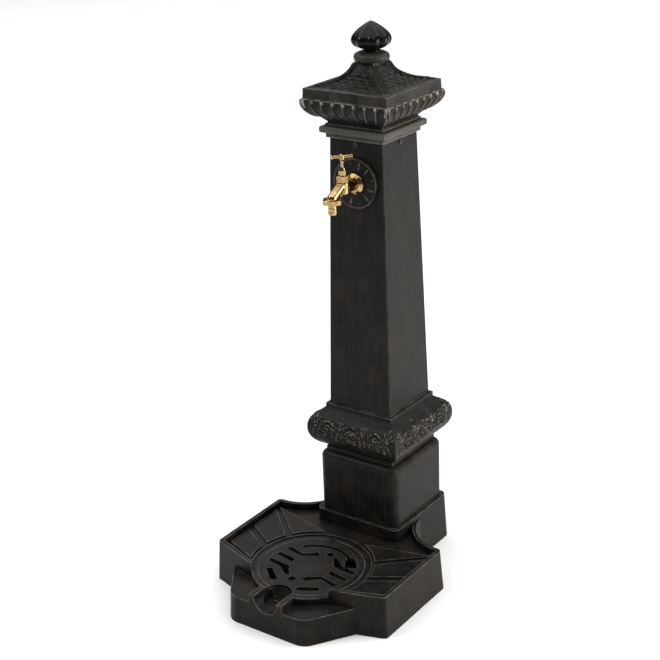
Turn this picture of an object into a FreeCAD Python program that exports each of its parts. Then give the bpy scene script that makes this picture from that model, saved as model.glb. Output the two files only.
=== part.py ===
import FreeCAD, Part
import math
import os
import re
import Sketcher
from FreeCAD import Placement, Rotation, Vector

# A free-standing garden fountain in cast iron: a square column on a basin, with a brass bib tap.
# The origin is on the ground under the column's axis, +Z is up, and the tap and the basin face -Y.
# Sizes are in millimetres and degrees.
SIZES = {
    # basin casting, outside
    "draft_angle": 3.2,
    "wing_top": 79,
    "wing_half": 183,
    "wing_back": 84,
    "wing_front": 271,
    "wing_corner_round": 8,
    "front_angle": 18,
    "notch_half": 135.5,
    "bay_land": 5,
    "lobe_top": 51,
    "lobe_half": 78,
    "lobe_front": 370,
    "lobe_round": 32,
    "wing_join_half": 91.8,
    # basin casting, inside
    "rim_width": 7,
    "recess_depth": 13,
    "panel_rise": 3,
    "panel_margin": 3,
    "panel_radius": 114,
    "casting_wall": 8,
    "recess_thickness": 12,
    "lobe_thickness": 9,
    # pedestal of the basin casting
    "pedestal_half": 90,
    "pedestal_top": 90,
    "pedestal_round": 18,
    "socket_depth": 12,
    "deck_thickness": 8,
    # grate and sump
    "grate_centre": 233,
    "grate_radius": 95.5,
    "grate_thickness": 6,
    "grate_clearance": 0.5,
    "grate_hole": 7.5,
    "slot_round": 1.4,
    "grate_line_radius": 84,
    "grate_line_depth": 0.8,
    "ring_outer": 108,
    "ring_drop": 2.5,
    "ledge_width": 7.5,
    "sump_floor": 30,
    # water chute through the front of the basin
    "chute_half": 36,
    "chute_radius": 25,
    "chute_axis_drop": 2,
    "chute_back_reach": 76,
    "chute_spout": 0.8,
    "chute_wall_reach": 64.8,
    "chute_lip_overlap": 5.4,
    "throat_lift": 4,
    # waste fitting in the sump
    "waste_tail": 15,
    "waste_bore": 12.5,
    "waste_flange": 24,
    "waste_flange_thickness": 3,
    "waste_thread_length": 18,
    "waste_spigot": 14,
    "waste_spigot_length": 7,
    "waste_seal_outer": 22,
    "waste_seal_thickness": 2,
    "waste_nut_flats": 41,
    "waste_nut_thickness": 8,
    # plinth block
    "plinth_half": 84.2,
    "plinth_height": 133,
    "plinth_corner_round": 16,
    "plinth_top_round": 13,
    "plinth_wall": 10,
    "plinth_inner_round": 6,
    "plinth_seat_gap": 0.5,
    # torus moulding
    "torus_step_half": 73,
    "torus_step_height": 8,
    "torus_waist_half": 71,
    "torus_quirk": 3,
    "torus_under_round": 39,
    "torus_half": 100.4,
    "torus_under_rise": 41,
    "torus_over_round": 31,
    "torus_over_half": 83,
    "torus_over_rise": 28,
    "torus_fillet_half": 72,
    "torus_cove_rise": 7,
    "torus_fillet_rise": 8.8,
    "duct_half": 50,
    # column shaft
    "shaft_foot_half": 66.4,
    "shaft_head_half": 54.6,
    "shaft_length": 499.6,
    "shaft_corner_round": 2.5,
    "shaft_wall": 8,
    # collar plate under the capital
    "collar_under_half": 59,
    "collar_under_rise": 8.4,
    "collar_half": 67.2,
    "collar_thickness": 12.5,
    "collar_edge_round": 4,
    "collar_step_half": 59.5,
    "collar_step_rise": 3.7,
    "spigot_gap": 0.9,
    "spigot_wall": 7,
    "spigot_depth": 22.4,
    # capital with its ovolo
    "neck_half": 56.5,
    "neck_rise": 3,
    "bead_half": 61,
    "bead_rise": 4,
    "ovolo_low_half": 67,
    "ovolo_low_rise": 4,
    "ovolo_half": 90.5,
    "ovolo_round": 35.25,
    "ovolo_rise": 27,
    "ovolo_lip_half": 89.4,
    "ovolo_lip_rise": 8,
    # roof
    "band_half": 86,
    "eave_half": 85.4,
    "eave_rise": 17,
    "roof_flat_half": 74,
    "roof_flat_rise": 1,
    "roof_slope_half": 40,
    "roof_slope_rise": 10.5,
    "roof_shoulder_half": 25,
    "roof_shoulder_rise": 16,
    "roof_neck_half": 21,
    "roof_neck_rise": 10.5,
    "roof_sweep": 80,
    "roof_throat": 36,
    "hip_width": 9,
    "hip_rise": 1.6,
    # neck ring and finial
    "ring_foot_radius": 24,
    "neck_ring_bore": 12,
    "neck_ring_lower": 28.65,
    "neck_ring_lower_height": 1,
    "neck_ring_upper": 26.5,
    "neck_ring_swell": 13.5,
    "neck_ring_crown": 2.5,
    "neck_ring_round": 8.5,
    "neck_ring_seat": 20,
    "finial_neck": 12.5,
    "finial_neck_length": 1.5,
    "finial_point_rise": 10,
    "finial_widest": 34.9,
    "finial_widest_rise": 9,
    "finial_under": 17,
    "finial_under_rise": 3.5,
    "finial_belly": 31.4,
    "finial_belly_rise": 7,
    "finial_belly_round": 17.5,
    "finial_crown_round": 26.2,
    "finial_tip": 14.7,
    "finial_tip_rise": 20,
    "finial_socket_depth": 15,
    # tie rod and its nuts
    "rod_radius": 5,
    "rod_hole": 5.5,
    "rod_nut_flats": 17,
    "rod_nut_thickness": 8,
    "rod_washer_radius": 11,
    "rod_washer_thickness": 2,
    "rod_end": 4,
    # screws that hold the collar's spigot in the shaft
    "cap_screw_drop": 7.4,
    "cap_screw_radius": 2.4,
    "cap_screw_hole": 2.5,
    "cap_screw_seat_gap": 0.05,
    "cap_screw_head": 3.6,
    "cap_screw_head_height": 2,
    "cap_screw_length": 13,
    # supply pipe inside the column
    "pipe_offset": 20,
    "pipe_radius": 7.5,
    "pipe_bore": 6.5,
    "pipe_depth": 18,
    "pipe_socket": 7.55,
    "pipe_hole": 9,
    "fitting_thread": 9.9,
    "fitting_body": 11,
    "fitting_nut_flats": 24,
    "fitting_nut_length": 12.5,
    "fitting_nut_lip": 2,
    "olive_outer": 9.4,
    "olive_length": 3.6,
    "olive_gap": 0.2,
    "coupling_foot": 8,
    "coupling_length": 42,
    "coupling_thread_length": 9,
    "coupling_flats": 23,
    "pipe_stop": 2,
    "elbow_drop": 28,
    "elbow_pipe_depth": 17,
    "elbow_socket_wall": 3,
    # tap: places
    "tap_drop": 74.4,
    "spindle_out": 97,
    "spout_reach": 32,
    "tap_thread": 10.3,
    "tap_hole": 10.6,
    # rosette and wall flange
    "rosette_radius": 44,
    "rosette_thickness": 4,
    "rosette_rim_width": 3,
    "rosette_rim_rise": 1.2,
    "rosette_tilt_gap": 0.5,
    "flange_radius": 19,
    "flange_crown": 13,
    "flange_length": 8,
    "flange_edge": 3,
    # tap body
    "barrel_radius": 10,
    "chamber_radius": 11,
    "chamber_base_radius": 7,
    "chamber_base_height": 4,
    "chamber_drop": 11,
    "chamber_rise": 12,
    "chamber_bore": 8,
    "seat_rise": 1,
    "seat_bore": 4,
    "inlet_bore": 4.2,
    "inlet_drop": 4.5,
    "spout_radius": 8.6,
    "spout_bore": 4,
    "spout_start_rise": 9,
    "spout_knee_drop": 8,
    "outlet_thread": 12,
    "spout_leg": 5.6,
    "outlet_thread_length": 4,
    # back nut and washer behind the shaft's wall
    "back_washer_radius": 16,
    "back_washer_thickness": 2,
    "back_nut_flats": 27,
    "back_nut_thickness": 7,
    # headworks
    "running_gap": 0.05,
    "bonnet_flats": 19.5,
    "bonnet_seal_thickness": 1,
    "bonnet_seal_inset": 0.6,
    "bonnet_skirt_length": 3.5,
    "bonnet_hex_height": 11,
    "bonnet_neck_radius": 5.4,
    "bonnet_neck_height": 8,
    "bonnet_skirt_bore": 6.6,
    "bonnet_skirt_relief": 0.8,
    "packing_recess": 5.5,
    "stem_guide": 1.5,
    "packing_outer": 4.2,
    "packing_length": 4,
    "gland_flats": 12.5,
    "gland_gap": 1,
    "gland_roof": 0.5,
    "gland_crown_height": 5.5,
    "gland_crown": 4,
    "spindle_thread": 4.5,
    "spindle_room": 6,
    "spindle_shoulder_cone": 1,
    "spindle_stem": 2.6,
    "spindle_boss": 4.8,
    "spindle_stem_length": 14,
    "spindle_boss_cone": 3,
    "spindle_boss_length": 9.2,
    "spindle_crown_height": 1.5,
    "spindle_crown_inset": 2,
    "bar_radius": 3.3,
    "bar_end_radius": 4.2,
    "bar_end_length": 3,
    "bar_length": 36,
    "bar_turn": 46,
    # jumper and washer
    "valve_washer_radius": 6,
    "valve_washer_thickness": 3,
    "jumper_plate_thickness": 1.5,
    "jumper_stem": 2.45,
    "jumper_stem_length": 9,
    "jumper_plate_gap": 0.2,
    "jumper_head_gap": 0.8,
    "jumper_stub": 1.8,
    "jumper_stub_length": 5,
    "washer_nut_flats": 6,
    "washer_nut_thickness": 1.8,
    # hose union
    "union_flats": 31,
    "union_height": 8,
    "union_lip": 1.2,
    "tail_flange_thickness": 1.3,
    "tail_radius": 7.5,
    "tail_bore": 5.5,
    "tail_washer_bore": 6,
    "tail_length": 19,
    "barb_rise": 0.4,
    "barb_lead": 0.8,
    "union_side_gap": 0.3,
}

# Heights and distances that follow from the sizes above, in the order in which the pieces are stacked.
LEVELS = {
    "bay_radius": "wing_half - bay_land - pedestal_half",
    "recess_floor": "wing_top - recess_depth",
    "wing_hollow_top": "recess_floor - recess_thickness",
    "lobe_hollow_top": "lobe_top - lobe_thickness",
    "plinth_seat": "pedestal_top - socket_depth",
    "ring_top": "recess_floor - ring_drop",
    "chute_top": "recess_floor",
    "chute_axis": "chute_top - chute_axis_drop",
    "chute_back": "grate_centre + chute_back_reach",
    "chute_front": "lobe_front + chute_spout",
    "chute_wall_back": "grate_centre + chute_wall_reach",
    "chute_lip_back": "grate_centre + ring_outer - chute_lip_overlap",
    "throat_floor": "chute_axis - chute_radius + throat_lift",
    "plinth_top": "plinth_seat + plinth_height",
    "torus_waist_height": "plinth_top + torus_step_height + torus_quirk",
    "torus_widest_height": "torus_waist_height + torus_under_rise",
    "torus_over_height": "torus_widest_height + torus_over_rise",
    "torus_fillet_height": "torus_over_height + torus_cove_rise",
    "torus_top": "torus_fillet_height + torus_fillet_rise",
    "shaft_top": "torus_top + shaft_length",
    "collar_under_top": "shaft_top + collar_under_rise",
    "collar_top": "collar_under_top + collar_thickness",
    "collar_step_top": "collar_top + collar_step_rise",
    "spigot_foot": "shaft_top - spigot_depth",
    "neck_top": "collar_step_top + neck_rise",
    "bead_height": "neck_top + bead_rise",
    "ovolo_low_height": "bead_height + ovolo_low_rise",
    "ovolo_widest_height": "ovolo_low_height + ovolo_rise",
    "ovolo_top": "ovolo_widest_height + ovolo_lip_rise",
    "eave_height": "ovolo_top + eave_rise",
    "roof_flat_height": "eave_height + roof_flat_rise",
    "roof_slope_height": "roof_flat_height + roof_slope_rise",
    "roof_shoulder_height": "roof_slope_height + roof_shoulder_rise",
    "roof_top": "roof_shoulder_height + roof_neck_rise",
    "neck_ring_height": "neck_ring_lower_height + neck_ring_swell + neck_ring_crown",
    "finial_foot": "roof_top + neck_ring_height",
    "finial_under_height": "finial_foot + finial_neck_length + finial_under_rise",
    "finial_belly_height": "finial_under_height + finial_belly_rise",
    "finial_widest_height": "finial_belly_height + finial_widest_rise",
    "finial_tip_height": "finial_widest_height + finial_tip_rise",
    "finial_top": "finial_tip_height + finial_point_rise",
    "rod_foot": "plinth_seat - deck_thickness - rod_washer_thickness - rod_nut_thickness - rod_end",
    "cap_screw_height": "shaft_top - cap_screw_drop",
    "pipe_foot": "coupling_foot + pipe_depth",
    "tap_height": "shaft_top - tap_drop",
    "tap_tail_end": "pipe_offset + fitting_body",
    "outlet_out": "spindle_out + spout_reach",
    "chamber_foot": "tap_height - chamber_drop",
    "chamber_top": "tap_height + chamber_rise",
    "seat_height": "tap_height + seat_rise",
    "spout_start_height": "tap_height + spout_start_rise",
    "spout_knee_height": "tap_height - spout_knee_drop",
    "outlet_foot": "spout_knee_height - spout_leg",
    "bonnet_foot": "chamber_top - bonnet_skirt_length",
    "bonnet_hex_foot": "chamber_top + bonnet_seal_thickness",
    "bonnet_hex_top": "bonnet_hex_foot + bonnet_hex_height",
    "bonnet_neck_top": "bonnet_hex_top + bonnet_neck_height",
    "packing_floor": "bonnet_neck_top - packing_recess",
    "gland_foot": "bonnet_hex_top + gland_gap",
    "gland_hex_top": "bonnet_neck_top + gland_roof",
    "gland_top": "gland_hex_top + gland_crown_height",
    "spindle_shoulder": "packing_floor - stem_guide - spindle_room",
    "spindle_boss_foot": "gland_top + spindle_stem_length",
    "spindle_boss_top": "spindle_boss_foot + spindle_boss_length",
    "bar_height": "(spindle_boss_foot + spindle_boss_top) / 2",
    "union_top": "outlet_foot + outlet_thread_length",
    "union_foot": "union_top - union_height",
    "tail_foot": "union_foot - tail_length",
}

# The raised panels of a wing. Along the rim, each has its front and back end as shares of the wing's
# depth, and along the round step about the grate, the angles of the same two ends.
WING_PANELS = [
    {"rim": (0.88, 0.59), "step": (201.5, 179)},
    {"rim": (0.51, 0.13), "step": (171.5, 151)},
    {"rim": (0.07, 0.07), "step": (144.5, 113)},
]

# Openings of the grate on one side, as fractions of its radius. The other side has them turned
# half round, but for the long arched slot at the back.
GRATE_SLOTS = [
    [(-0.81, 0.28), (-0.73, 0.37), (-0.41, 0.28), (-0.19, 0.49), (-0.09, 0.42), (-0.13, 0.36),
     (-0.37, 0.2)],
    [(-0.85, 0.02), (-0.82, 0.11), (-0.41, 0.06), (-0.41, -0.06)],
    [(-0.82, -0.26), (-0.84, -0.15), (-0.36, -0.21), (-0.31, -0.3), (-0.17, -0.46), (-0.26, -0.49),
     (-0.5, -0.31)],
]
FRONT_SLOTS = [
    [(-0.7, -0.49), (-0.6, -0.43), (-0.26, -0.7), (-0.38, -0.78)],
    [(0.2, -0.83), (0.2, -0.72), (0.54, -0.53), (0.62, -0.59), (0.58, -0.64), (0.29, -0.81)],
]

# The centre of the round hole on one side of the grate, in the same way.
GRATE_HOLE = (0.06, 0.54)

# The long slot at the back of the grate: its inner and outer radius as shares of the grate's, for the
# thin part and for the wider end, and the angles where it starts, widens and ends.
ARCHED_THIN = (0.715, 0.79)
ARCHED_WIDE = (0.63, 0.85)
ARCHED_ANGLES = (138, 54, 50, 27)
# Numbers of like things.
SIDES = 4
BARBS = 3
# How near two heights are to count as one.
NEAR = 1e-3
# The share of an edge's length that it rises, to count as upright.
STEEP = 0.9

FORWARD = Rotation(Vector(1, 0, 0), 90)
RIGHTWARD = Rotation(Vector(0, 1, 0), 90)
ACROSS = Rotation(Vector(1, 1, 1), 120)
UPWARD_THROUGH = {"Type": "ThroughAll", "Reversed": True}

document = FreeCAD.newDocument("GardenFountain")
sheet = document.addObject("Spreadsheet::Sheet", "Sizes")
NAMES = {**SIZES, **LEVELS}


def bound(text):
    """The expression with each size's name pointing at the sheet."""
    return re.sub(r"[a-z_]+", lambda word: f"Sizes.{word[0]}" if word[0] in NAMES else word[0], text)


for row, (alias, amount) in enumerate(NAMES.items(), start=1):
    sheet.set(f"A{row}", alias)
    sheet.set(f"B{row}", str(amount) if alias in SIZES else f"={amount}")
    sheet.setAlias(f"B{row}", alias)
document.recompute()


def amount_of(text):
    """The number that an expression of sizes comes to."""
    return float(sheet.evalExpression(bound(text)))


def fix(sketch, constraint, text):
    """Adds a constraint whose size follows the sheet."""
    index = sketch.addConstraint(constraint)
    sketch.setExpression(f"Constraints[{index}]", bound(text))


def arc_between(start, end, side, radius):
    """The arc from start to end, of less than half a turn, with its centre on that side of the way."""
    along = end - start
    rise = math.sqrt(max(radius ** 2 - (along.Length / 2) ** 2, 0))
    left = Vector(-along.y, along.x, 0) / along.Length
    centre = (start + end) / 2 + left * (rise if side == "left" else -rise)
    angles = [math.atan2(point.y - centre.y, point.x - centre.x) for point in (start, end)]
    if side == "right":
        angles.reverse()
    return Part.ArcOfCircle(Part.Circle(centre, Vector(0, 0, 1), radius), *angles)


def draw(sketch, path):
    """Draws a closed outline. A point is (x, y), or (x, y, side, radius) where an arc leaves it."""
    points = [Vector(amount_of(point[0]), amount_of(point[1]), 0) for point in path]
    count = len(path)
    first = sketch.GeometryCount
    ends = []
    for index, point in enumerate(path):
        start = points[index]
        end = points[(index + 1) % count]
        if len(point) == 2:
            sketch.addGeometry(Part.LineSegment(start, end), False)
            ends.append((1, 2))
        else:
            sketch.addGeometry(arc_between(start, end, point[2], amount_of(point[3])), False)
            ends.append((1, 2) if point[2] == "left" else (2, 1))
    for index, point in enumerate(path):
        here = first + index
        after = (index + 1) % count
        sketch.addConstraint(
            Sketcher.Constraint("Coincident", here, ends[index][1], first + after, ends[after][0])
        )
        fix(sketch, Sketcher.Constraint("DistanceX", -1, 1, here, ends[index][0], points[index].x), point[0])
        fix(sketch, Sketcher.Constraint("DistanceY", -1, 1, here, ends[index][0], points[index].y), point[1])
        if len(point) > 2:
            fix(sketch, Sketcher.Constraint("Radius", here, amount_of(point[3])), point[3])


def draw_circle(sketch, circle):
    """Draws a circle given as (x, y, radius) in a set of one."""
    across, upward, radius = circle
    centre = Vector(amount_of(across), amount_of(upward), 0)
    index = sketch.addGeometry(Part.Circle(centre, Vector(0, 0, 1), amount_of(radius)), False)
    fix(sketch, Sketcher.Constraint("Radius", index, amount_of(radius)), radius)
    fix(sketch, Sketcher.Constraint("DistanceX", -1, 1, index, 3, centre.x), across)
    fix(sketch, Sketcher.Constraint("DistanceY", -1, 1, index, 3, centre.y), upward)


def new_sketch(body, name, role, *outlines, height="0"):
    """A sketch on one of the body's own origin planes. A tuple is a circle, a list an outline."""
    sketch = body.newObject("Sketcher::SketchObject", name)
    plane = next(item for item in body.Origin.OriginFeatures if item.Role == role)
    sketch.AttachmentSupport = [(plane, "")]
    sketch.MapMode = "FlatFace"
    sketch.setExpression("AttachmentOffset.Base.z", bound(height))
    for outline in outlines:
        if isinstance(outline, tuple):
            draw_circle(sketch, outline)
        else:
            draw(sketch, outline)
    return sketch


def new_body(label):
    """An empty body that becomes one sub-part."""
    body = document.addObject("PartDesign::Body", label)
    body.Label = label
    return body


def add(body, kind, profile, modes=None, **sizes):
    """Adds material to a body with a Pad, Loft or Revolution."""
    item = body.newObject("PartDesign::" + kind, profile.Name + "Solid")
    item.Profile = profile
    for name, mode in (modes or {}).items():
        setattr(item, name, mode)
    for name, text in sizes.items():
        item.setExpression(name, bound(text))
    document.recompute()
    return item


def take(body, kind, profile, modes=None, **sizes):
    """Takes material from a body, and makes sure that some was taken."""
    document.recompute()
    before = body.Shape.Volume
    item = add(body, kind, profile, modes, **sizes)
    if body.Shape.Volume > before - NEAR:
        raise ValueError(f"{item.Name} cuts nothing")
    return item


def round_edges(body, kind, name, chosen, **sizes):
    """Puts a Fillet or Chamfer on the edges that the given test chooses."""
    document.recompute()
    tip = body.Tip
    names = [f"Edge{index}" for index, edge in enumerate(tip.Shape.Edges, start=1) if chosen(edge)]
    if not names:
        raise ValueError(f"{name} finds no edge")
    item = body.newObject("PartDesign::" + kind, name)
    item.Base = (tip, names)
    for size_name, text in sizes.items():
        item.setExpression(size_name, bound(text))
    document.recompute()


def put(item, place, turn=None):
    """Sets an object's turn, and binds its place to the sheet."""
    if turn is not None:
        item.Placement = Placement(Vector(), turn)
    for axis, text in zip("xyz", place):
        item.setExpression(f"Placement.Base.{axis}", bound(text))
    return item


def primitive(kind, name, place, turn=None, **sizes):
    """A Part primitive whose sizes and place follow the sheet."""
    item = document.addObject("Part::" + kind, name)
    for size_name, text in sizes.items():
        item.setExpression(size_name, bound(text))
    return put(item, place, turn)


def cylinder(name, place, radius, length, turn=None):
    return primitive("Cylinder", name, place, turn, Radius=radius, Height=length)


def hexagon(name, place, flats, length, turn=None):
    """A hexagonal bar, given by its size across the flats."""
    return primitive("Prism", name, place, turn, Circumradius=f"{flats} / sqrt(3)", Height=length)


def fused(label, *items):
    item = document.addObject("Part::MultiFuse", label)
    item.Label = label
    item.Shapes = list(items)
    item.Refine = True
    return item


def cut(label, base, *tools):
    item = document.addObject("Part::Cut", label)
    item.Label = label
    item.Base = base
    item.Tool = tools[0] if len(tools) == 1 else fused(label + "Tools", *tools)
    item.Refine = True
    return item


def group(label, items):
    """Identical pieces that share one sub-part as separate solids."""
    item = document.addObject("Part::Compound", label)
    item.Label = label
    item.Links = items
    return item


def turned(label, path, place=("0", "0", "0"), turn=None):
    """A body turned on its own upright axis from an outline of (radius, height) points."""
    body = new_body(label)
    sketch = new_sketch(body, label + "Profile", "XZ_Plane", path)
    add(body, "Revolution", sketch, {"ReferenceAxis": (sketch, ["V_Axis"])})
    return put(body, place, turn)


def ring(label, inner, outer, length, place, turn=None):
    """A plain ring, washer or seal."""
    path = [(inner, "0"), (outer, "0"), (outer, length), (inner, length)]
    return turned(label, path, place, turn)


def flipped(bend):
    """The bend of an arc seen in a mirror."""
    return ({"left": "right", "right": "left"}[bend[0]], bend[1]) if bend else ()


def mirrored(path):
    """An outline that is the same on both sides, from its right half given front to back."""
    left = [(f"-({point[0]})", point[1]) for point in reversed(path)]
    for index, point in enumerate(path):
        if len(point) > 2:
            place = len(path) - 2 - index
            left[place] = left[place] + point[2:]
    return path + left


def mitred(name, profile):
    """A square block whose four sides all have the profile, given as (half width, height) points."""
    sides = []
    for side, turn in (("Front", FORWARD), ("Side", ACROSS)):
        sketch = document.addObject("Sketcher::SketchObject", name + side + "Profile")
        sketch.Placement = Placement(Vector(), turn)
        draw(sketch, mirrored(profile))
        block = document.addObject("Part::Extrusion", name + side)
        block.Base = sketch
        block.DirMode = "Normal"
        block.Solid = True
        block.Symmetric = True
        block.setExpression("LengthFwd", bound("wing_half * 2"))
        sides.append(block)
    item = document.addObject("Part::MultiCommon", name)
    item.Shapes = sides
    item.Refine = True
    return item


def square_bar(name, half, foot, length):
    """A square bar about the column's axis."""
    place = (f"-({half})", f"-({half})", foot)
    return primitive("Box", name, place, None, Length=f"2 * ({half})", Width=f"2 * ({half})", Height=length)


def square(half, rounding="0"):
    """A square outline about the axis, with its corners rounded where a radius is given."""
    if rounding == "0":
        return [(half, f"-({half})"), (half, half), (f"-({half})", half), (f"-({half})", f"-({half})")]
    inner = f"({half}) - ({rounding})"
    corner = ("left", rounding)
    return [
        (inner, f"-({half})", *corner), (half, f"-({inner})"),
        (half, inner, *corner), (inner, half),
        (f"-({inner})", half, *corner), (f"-({half})", inner),
        (f"-({half})", f"-({inner})", *corner), (f"-({inner})", f"-({half})"),
    ]


def upright_at(edge, half, depth):
    """Whether an edge runs upward near a place, given as sizes to each side and to the front."""
    rise = abs(edge.Vertexes[-1].Z - edge.Vertexes[0].Z)
    if rise < edge.Length * STEEP:
        return False
    centre = edge.CenterOfMass
    reach = amount_of("wing_corner_round")
    return abs(abs(centre.x) - amount_of(half)) < reach and abs(centre.y + amount_of(depth)) < reach


def basin_casting():
    """The basin: two wings with a rim, a lower front lobe, the grate's seat, sump and chute, and
    the pedestal that takes the plinth. It is cast hollow and stands on its lower edge."""
    body = new_body("basin_casting")
    spread = "wing_top * tan(draft_angle)"
    slant = "tan(front_angle)"
    side = f"wing_half + {spread}"
    bay = f"bay_radius - {spread}"
    bay_x = "wing_half - bay_land"
    bay_y = "bay_radius - wing_back"
    join_depth = f"wing_front + (wing_half - wing_join_half) * {slant}"
    wings = new_sketch(body, "Wings", "XY_Plane", mirrored([
        ("wing_join_half", f"-({join_depth} + {spread})"),
        (side, f"-(wing_front + {spread})"),
        (side, f"-(wing_back - {spread})"),
        (bay_x, f"{bay_y} - ({bay})", "right", bay),
        (f"{bay_x} - ({bay})", bay_y),
    ]))
    add(body, "Pad", wings, Length="wing_top", TaperAngle="-draft_angle")
    round_edges(body, "Fillet", "WingCorners", lambda edge: upright_at(edge, "wing_half", "wing_front")
                or upright_at(edge, "wing_half", "wing_back"), Radius="wing_corner_round")

    notch_y = f"wing_front + (wing_half - notch_half) * {slant}"
    lobe_spread = "lobe_top * tan(draft_angle)"
    lobe = new_sketch(body, "Lobe", "XY_Plane", mirrored([
        (f"lobe_half + {lobe_spread}", f"-(lobe_front + {lobe_spread})"),
        (f"notch_half + {lobe_spread}", f"-({notch_y})"),
        (f"notch_half + {lobe_spread}", "-(wing_back + ring_outer)"),
    ]))
    add(body, "Pad", lobe, Length="lobe_top", TaperAngle="-draft_angle")
    round_edges(body, "Fillet", "LobeCorners", lambda edge: upright_at(edge, "lobe_half", "lobe_front"),
                Radius="lobe_round")

    centre = ("0", "-grate_centre")
    ring_pad = new_sketch(body, "RingBoss", "XY_Plane", (*centre, "ring_outer"))
    add(body, "Pad", ring_pad, Length="ring_top")
    walls = new_sketch(body, "ChuteWalls", "XY_Plane", mirrored([
        ("chute_half", "-chute_front"), ("chute_half", "-chute_wall_back"),
    ]), height="sump_floor")
    add(body, "Pad", walls, Length="chute_top - sump_floor")

    floor_half = "wing_half - rim_width"
    recess_bay = "bay_radius + rim_width"
    recess_reach = f"sqrt(({recess_bay}) ^ 2 - ({bay_x} - ({floor_half})) ^ 2)"
    recess = new_sketch(body, "Recess", "XY_Plane", mirrored([
        ("wing_join_half", f"-({join_depth} - rim_width)"),
        (floor_half, "-(wing_front - rim_width)"),
        (floor_half, f"{bay_y} - {recess_reach}", "right", recess_bay),
        (f"{bay_x} - ({recess_bay})", bay_y),
    ]), height="recess_floor")
    take(body, "Pocket", recess, UPWARD_THROUGH)
    ring_cut = new_sketch(body, "RingCut", "XY_Plane", (*centre, "ring_outer"), height="ring_top")
    take(body, "Pocket", ring_cut, UPWARD_THROUGH)
    lip = new_sketch(body, "ChuteLip", "XY_Plane", mirrored([
        ("chute_half", "-chute_front"), ("chute_half", "-chute_lip_back"),
    ]), height="lobe_top")
    add(body, "Pad", lip, Length="chute_top - lobe_top")

    panels = []
    for panel in WING_PANELS:
        rim_x = "wing_half - rim_width - panel_margin"
        first, last = [
            (f"panel_radius * cos({angle})", f"panel_radius * sin({angle}) - grate_centre")
            for angle in panel["step"]
        ]
        outer = [
            (f"-({rim_x})", f"-(wing_back + (wing_front - wing_back) * {share})")
            for share in dict.fromkeys(panel["rim"])
        ]
        left = outer[::-1] + [(*first, "right", "panel_radius"), last]
        right = [(f"-({point[0]})", point[1]) + flipped(point[2:]) for point in left]
        panels += [left, right]
    panel_sketch = new_sketch(body, "Panels", "XY_Plane", *panels, height="recess_floor")
    add(body, "Pad", panel_sketch, Length="panel_rise")

    pedestal_foot = "pedestal_half + pedestal_top * tan(draft_angle)"
    pedestal = new_sketch(body, "Pedestal", "XY_Plane", square(pedestal_foot, "pedestal_round"))
    add(body, "Pad", pedestal, Length="pedestal_top", TaperAngle="-draft_angle")
    seat = new_sketch(body, "PlinthSeat", "XY_Plane",
                      square("plinth_half + plinth_seat_gap", "plinth_corner_round"), height="plinth_seat")
    take(body, "Pocket", seat, UPWARD_THROUGH)

    underside(body, centre)
    ledge = new_sketch(body, "GrateLedge", "XY_Plane", (*centre, "grate_radius + grate_clearance"),
                       height="ring_top - grate_thickness - grate_clearance")
    take(body, "Pocket", ledge, UPWARD_THROUGH)
    sump = new_sketch(body, "Sump", "XY_Plane", (*centre, "grate_radius - ledge_width"), height="sump_floor")
    take(body, "Pocket", sump, UPWARD_THROUGH)

    chute_start = "chute_back + chute_radius"
    channel = new_sketch(body, "Channel", "XZ_Plane", [
        ("-chute_radius", "chute_axis", "left", "chute_radius"),
        ("0", "chute_axis - chute_radius", "left", "chute_radius"), ("chute_radius", "chute_axis"),
        ("chute_radius", "wing_top"), ("-chute_radius", "wing_top"),
    ], height=chute_start)
    take(body, "Pocket", channel, UPWARD_THROUGH)
    throat = new_sketch(body, "Throat", "XY_Plane", ("0", f"-({chute_start})", "chute_radius"),
                        height="throat_floor")
    take(body, "Pocket", throat, UPWARD_THROUGH)
    return body


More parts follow.
